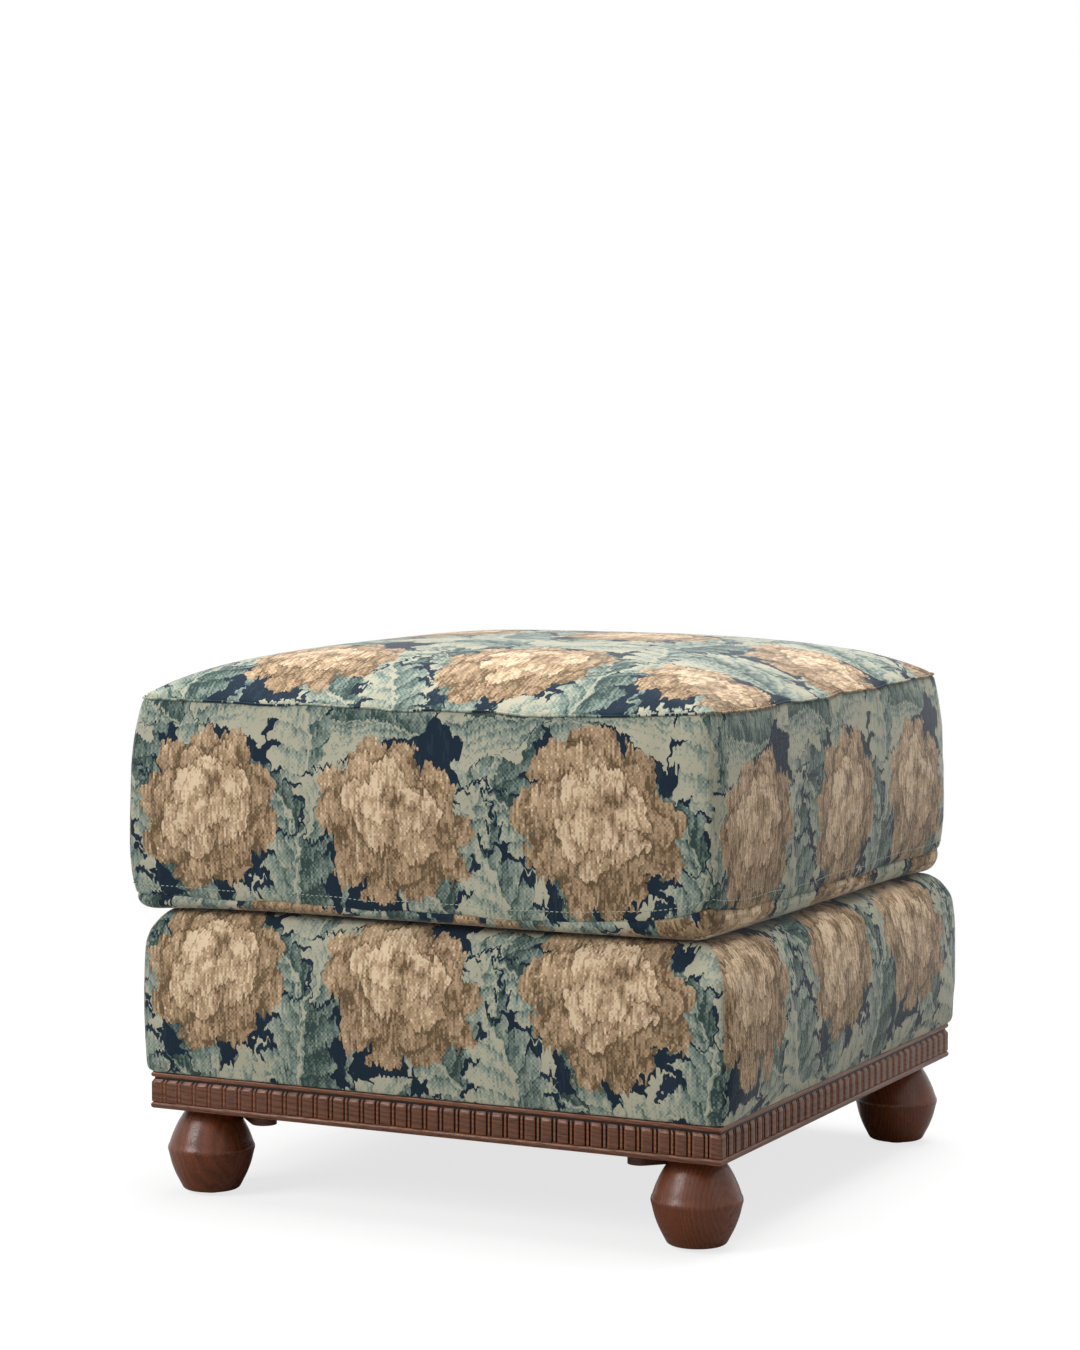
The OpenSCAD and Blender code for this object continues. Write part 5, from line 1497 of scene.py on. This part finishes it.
def stretched_cloth(name, node, slot, sunk, slack, corner_sum=None):
    """A sheet of plain cloth pulled tight and stapled: it lies a little under its solid's top and waves by
    slack between its fixings."""
    low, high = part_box(node)
    height = high.z - sunk
    a, b, _ = square_grid(SHEET_HALF_COUNT)
    x, y = a * high.x, b * high.y
    if corner_sum:
        pull = np.minimum(1, corner_sum / np.maximum(np.abs(x) + np.abs(y), 1e-9))
        x, y = x * pull, y * pull
    free = (1 - a ** 2) * (1 - b ** 2)
    places = zip(x.ravel(), y.ravel())
    wave = np.array([noise.noise(Vector((p * 9, q * 9, height * 100))) for p, q in places])
    z = height - slack * free.ravel() * (0.6 + 0.4 * wave)
    piece = new_piece(name, np.column_stack([x.ravel(), y.ravel(), z]), grid_faces(SHEET_HALF_COUNT), slot)
    stand_for(piece, "base", [node])


def make_plain_cloths():
    """The deck cloth under the cushion, the hessian on the webbing, and the dust cover underneath."""
    stretched_cloth("deck_lining", "deck_cloth", "lining_linen", sunk=0.4 * MM, slack=0.2 * MM)
    stretched_cloth("hessian_sheet", "deck_hessian", "hessian", sunk=0, slack=0.2 * MM)
    stretched_cloth("dust_sheet", "dust_cover", "cambric", sunk=0.2 * MM, slack=1.2 * MM,
                    corner_sum=DUST_COVER_CUT)


# Floor, light and camera

FLOOR_RADIUS = 12.0
FLOOR_SIDES = 48
# The floor turns white between these distances from the middle, and is this far towards white before
FLOOR_FADE = (0.30, 1.20)
FLOOR_VEIL = 0.75
OTTOMAN_MIDDLE = (0, 0, 0.25)


def seen_rays(tree):
    """1 for rays that the camera, a reflection or glass sees by, and the camera's rays alone."""
    ray = add(tree, "LightPath").outputs
    seen = add(tree, "Math MAXIMUM", ray["Is Camera Ray"], ray["Is Glossy Ray"])
    return add(tree, "Math MAXIMUM", seen, ray["Is Transmission Ray"]), ray["Is Camera Ray"]


def make_floor():
    """A plain pale floor that keeps a soft shadow near the ottoman and runs out to white. Light bounces
    off it as off a duller paint, so that it does not light the ottoman from below."""
    turns = np.linspace(0, math.tau, FLOOR_SIDES, endpoint=False)
    points = [(math.cos(t) * FLOOR_RADIUS, math.sin(t) * FLOOR_RADIUS, 0) for t in turns]
    mesh = bpy.data.meshes.new("floor")
    mesh.from_pydata(points, [], [tuple(range(FLOOR_SIDES))])
    finish, tree = new_finish("pale floor")
    spot = add(tree, "TexCoord").outputs["Object"]
    away = add(tree, "VectorMath LENGTH", spot).outputs["Value"]
    away = add(tree, "MapRange", away, *FLOOR_FADE, interpolation_type="SMOOTHSTEP")
    seen, camera_ray = seen_rays(tree)
    seen_paint = add(tree, "BsdfDiffuse", linear("#F8F8F7"))
    dull_paint = add(tree, "BsdfDiffuse", linear("#B4B2AF"))
    paint = add(tree, "MixShader", camera_ray, dull_paint, seen_paint)
    white = add(tree, "Emission", linear("#FFFFFF"), 1.0)
    veil = add(tree, "Math MULTIPLY", camera_ray, FLOOR_VEIL)
    veil = add(tree, "Math MAXIMUM", veil, away)
    veil = add(tree, "Math MULTIPLY", veil, seen)
    shown = add(tree, "MixShader", veil, paint, white)
    add(tree, "OutputMaterial", shown)
    mesh.materials.append(finish)
    in_scene("floor", mesh)


def make_world(ambient):
    """White wherever it is seen, and an even soft light of the given strength."""
    world = bpy.data.worlds.new("studio")
    tree = empty_nodes(world)
    soft = add(tree, "Background", linear("#F2F4F7"), ambient)
    white = add(tree, "Background", linear("#FFFFFF"), 1.0)
    shown = add(tree, "MixShader", seen_rays(tree)[0], soft, white)
    add(tree, "OutputWorld", shown)
    bpy.context.scene.world = world


def point_at(thing, place, ahead):
    """Puts a lamp or camera in its place, looking ahead."""
    thing.location = place
    thing.rotation_mode = "QUATERNION"
    thing.rotation_quaternion = ahead.to_track_quat("-Z", "Y")


def soft_box(name, place, aim, size, level):
    """A square studio lamp. level is the light that it gives a matt white face turned to it, where 1 makes
    it white."""
    ahead = Vector(aim) - Vector(place)
    lamp = bpy.data.lights.new(name, "AREA")
    lamp.shape = "SQUARE"
    lamp.size = size
    lamp.energy = level * math.pi ** 2 * ahead.length_squared
    point_at(in_scene(name, lamp), place, ahead)


def make_camera():
    """The camera, at the photograph's viewing angle."""
    lens = bpy.data.cameras.new("camera")
    lens.sensor_width = FILM_LONG_SIDE
    lens.lens = CAMERA_LENS
    lens.clip_start = 0.05
    lens.clip_end = 60
    camera = in_scene("camera", lens)
    level = math.cos(CAMERA_DIP)
    ahead = Vector((
        -math.sin(CAMERA_TURN) * level, math.cos(CAMERA_TURN) * level, -math.sin(CAMERA_DIP)))
    point_at(camera, CAMERA_PLACE, ahead)
    bpy.context.scene.camera = camera


make_camera()
make_world(ambient=0.35)
soft_box("key", (-1.7, -2.6, 2.0), OTTOMAN_MIDDLE, size=1.6, level=0.67)
soft_box("overhead", (0.2, 0.4, 2.8), OTTOMAN_MIDDLE, size=2.0, level=1.60)
soft_box("fill", (2.9, -0.4, 1.2), OTTOMAN_MIDDLE, size=1.6, level=0.04)
make_floor()
bpy.context.scene.view_settings.view_transform = "Standard"

make_topstitching(make_cushion())
make_base()
make_plinth()
make_feet()
make_fillings()
make_plain_cloths()

# The hard pieces that show as the frame has them take their finish by slot
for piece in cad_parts.values():
    slot_name = piece.material_slots[0].material.name.split(".")[0] if piece.material_slots else ""
    if slot_name in FINISHES:
        piece.material_slots[0].material = FINISHES[slot_name]
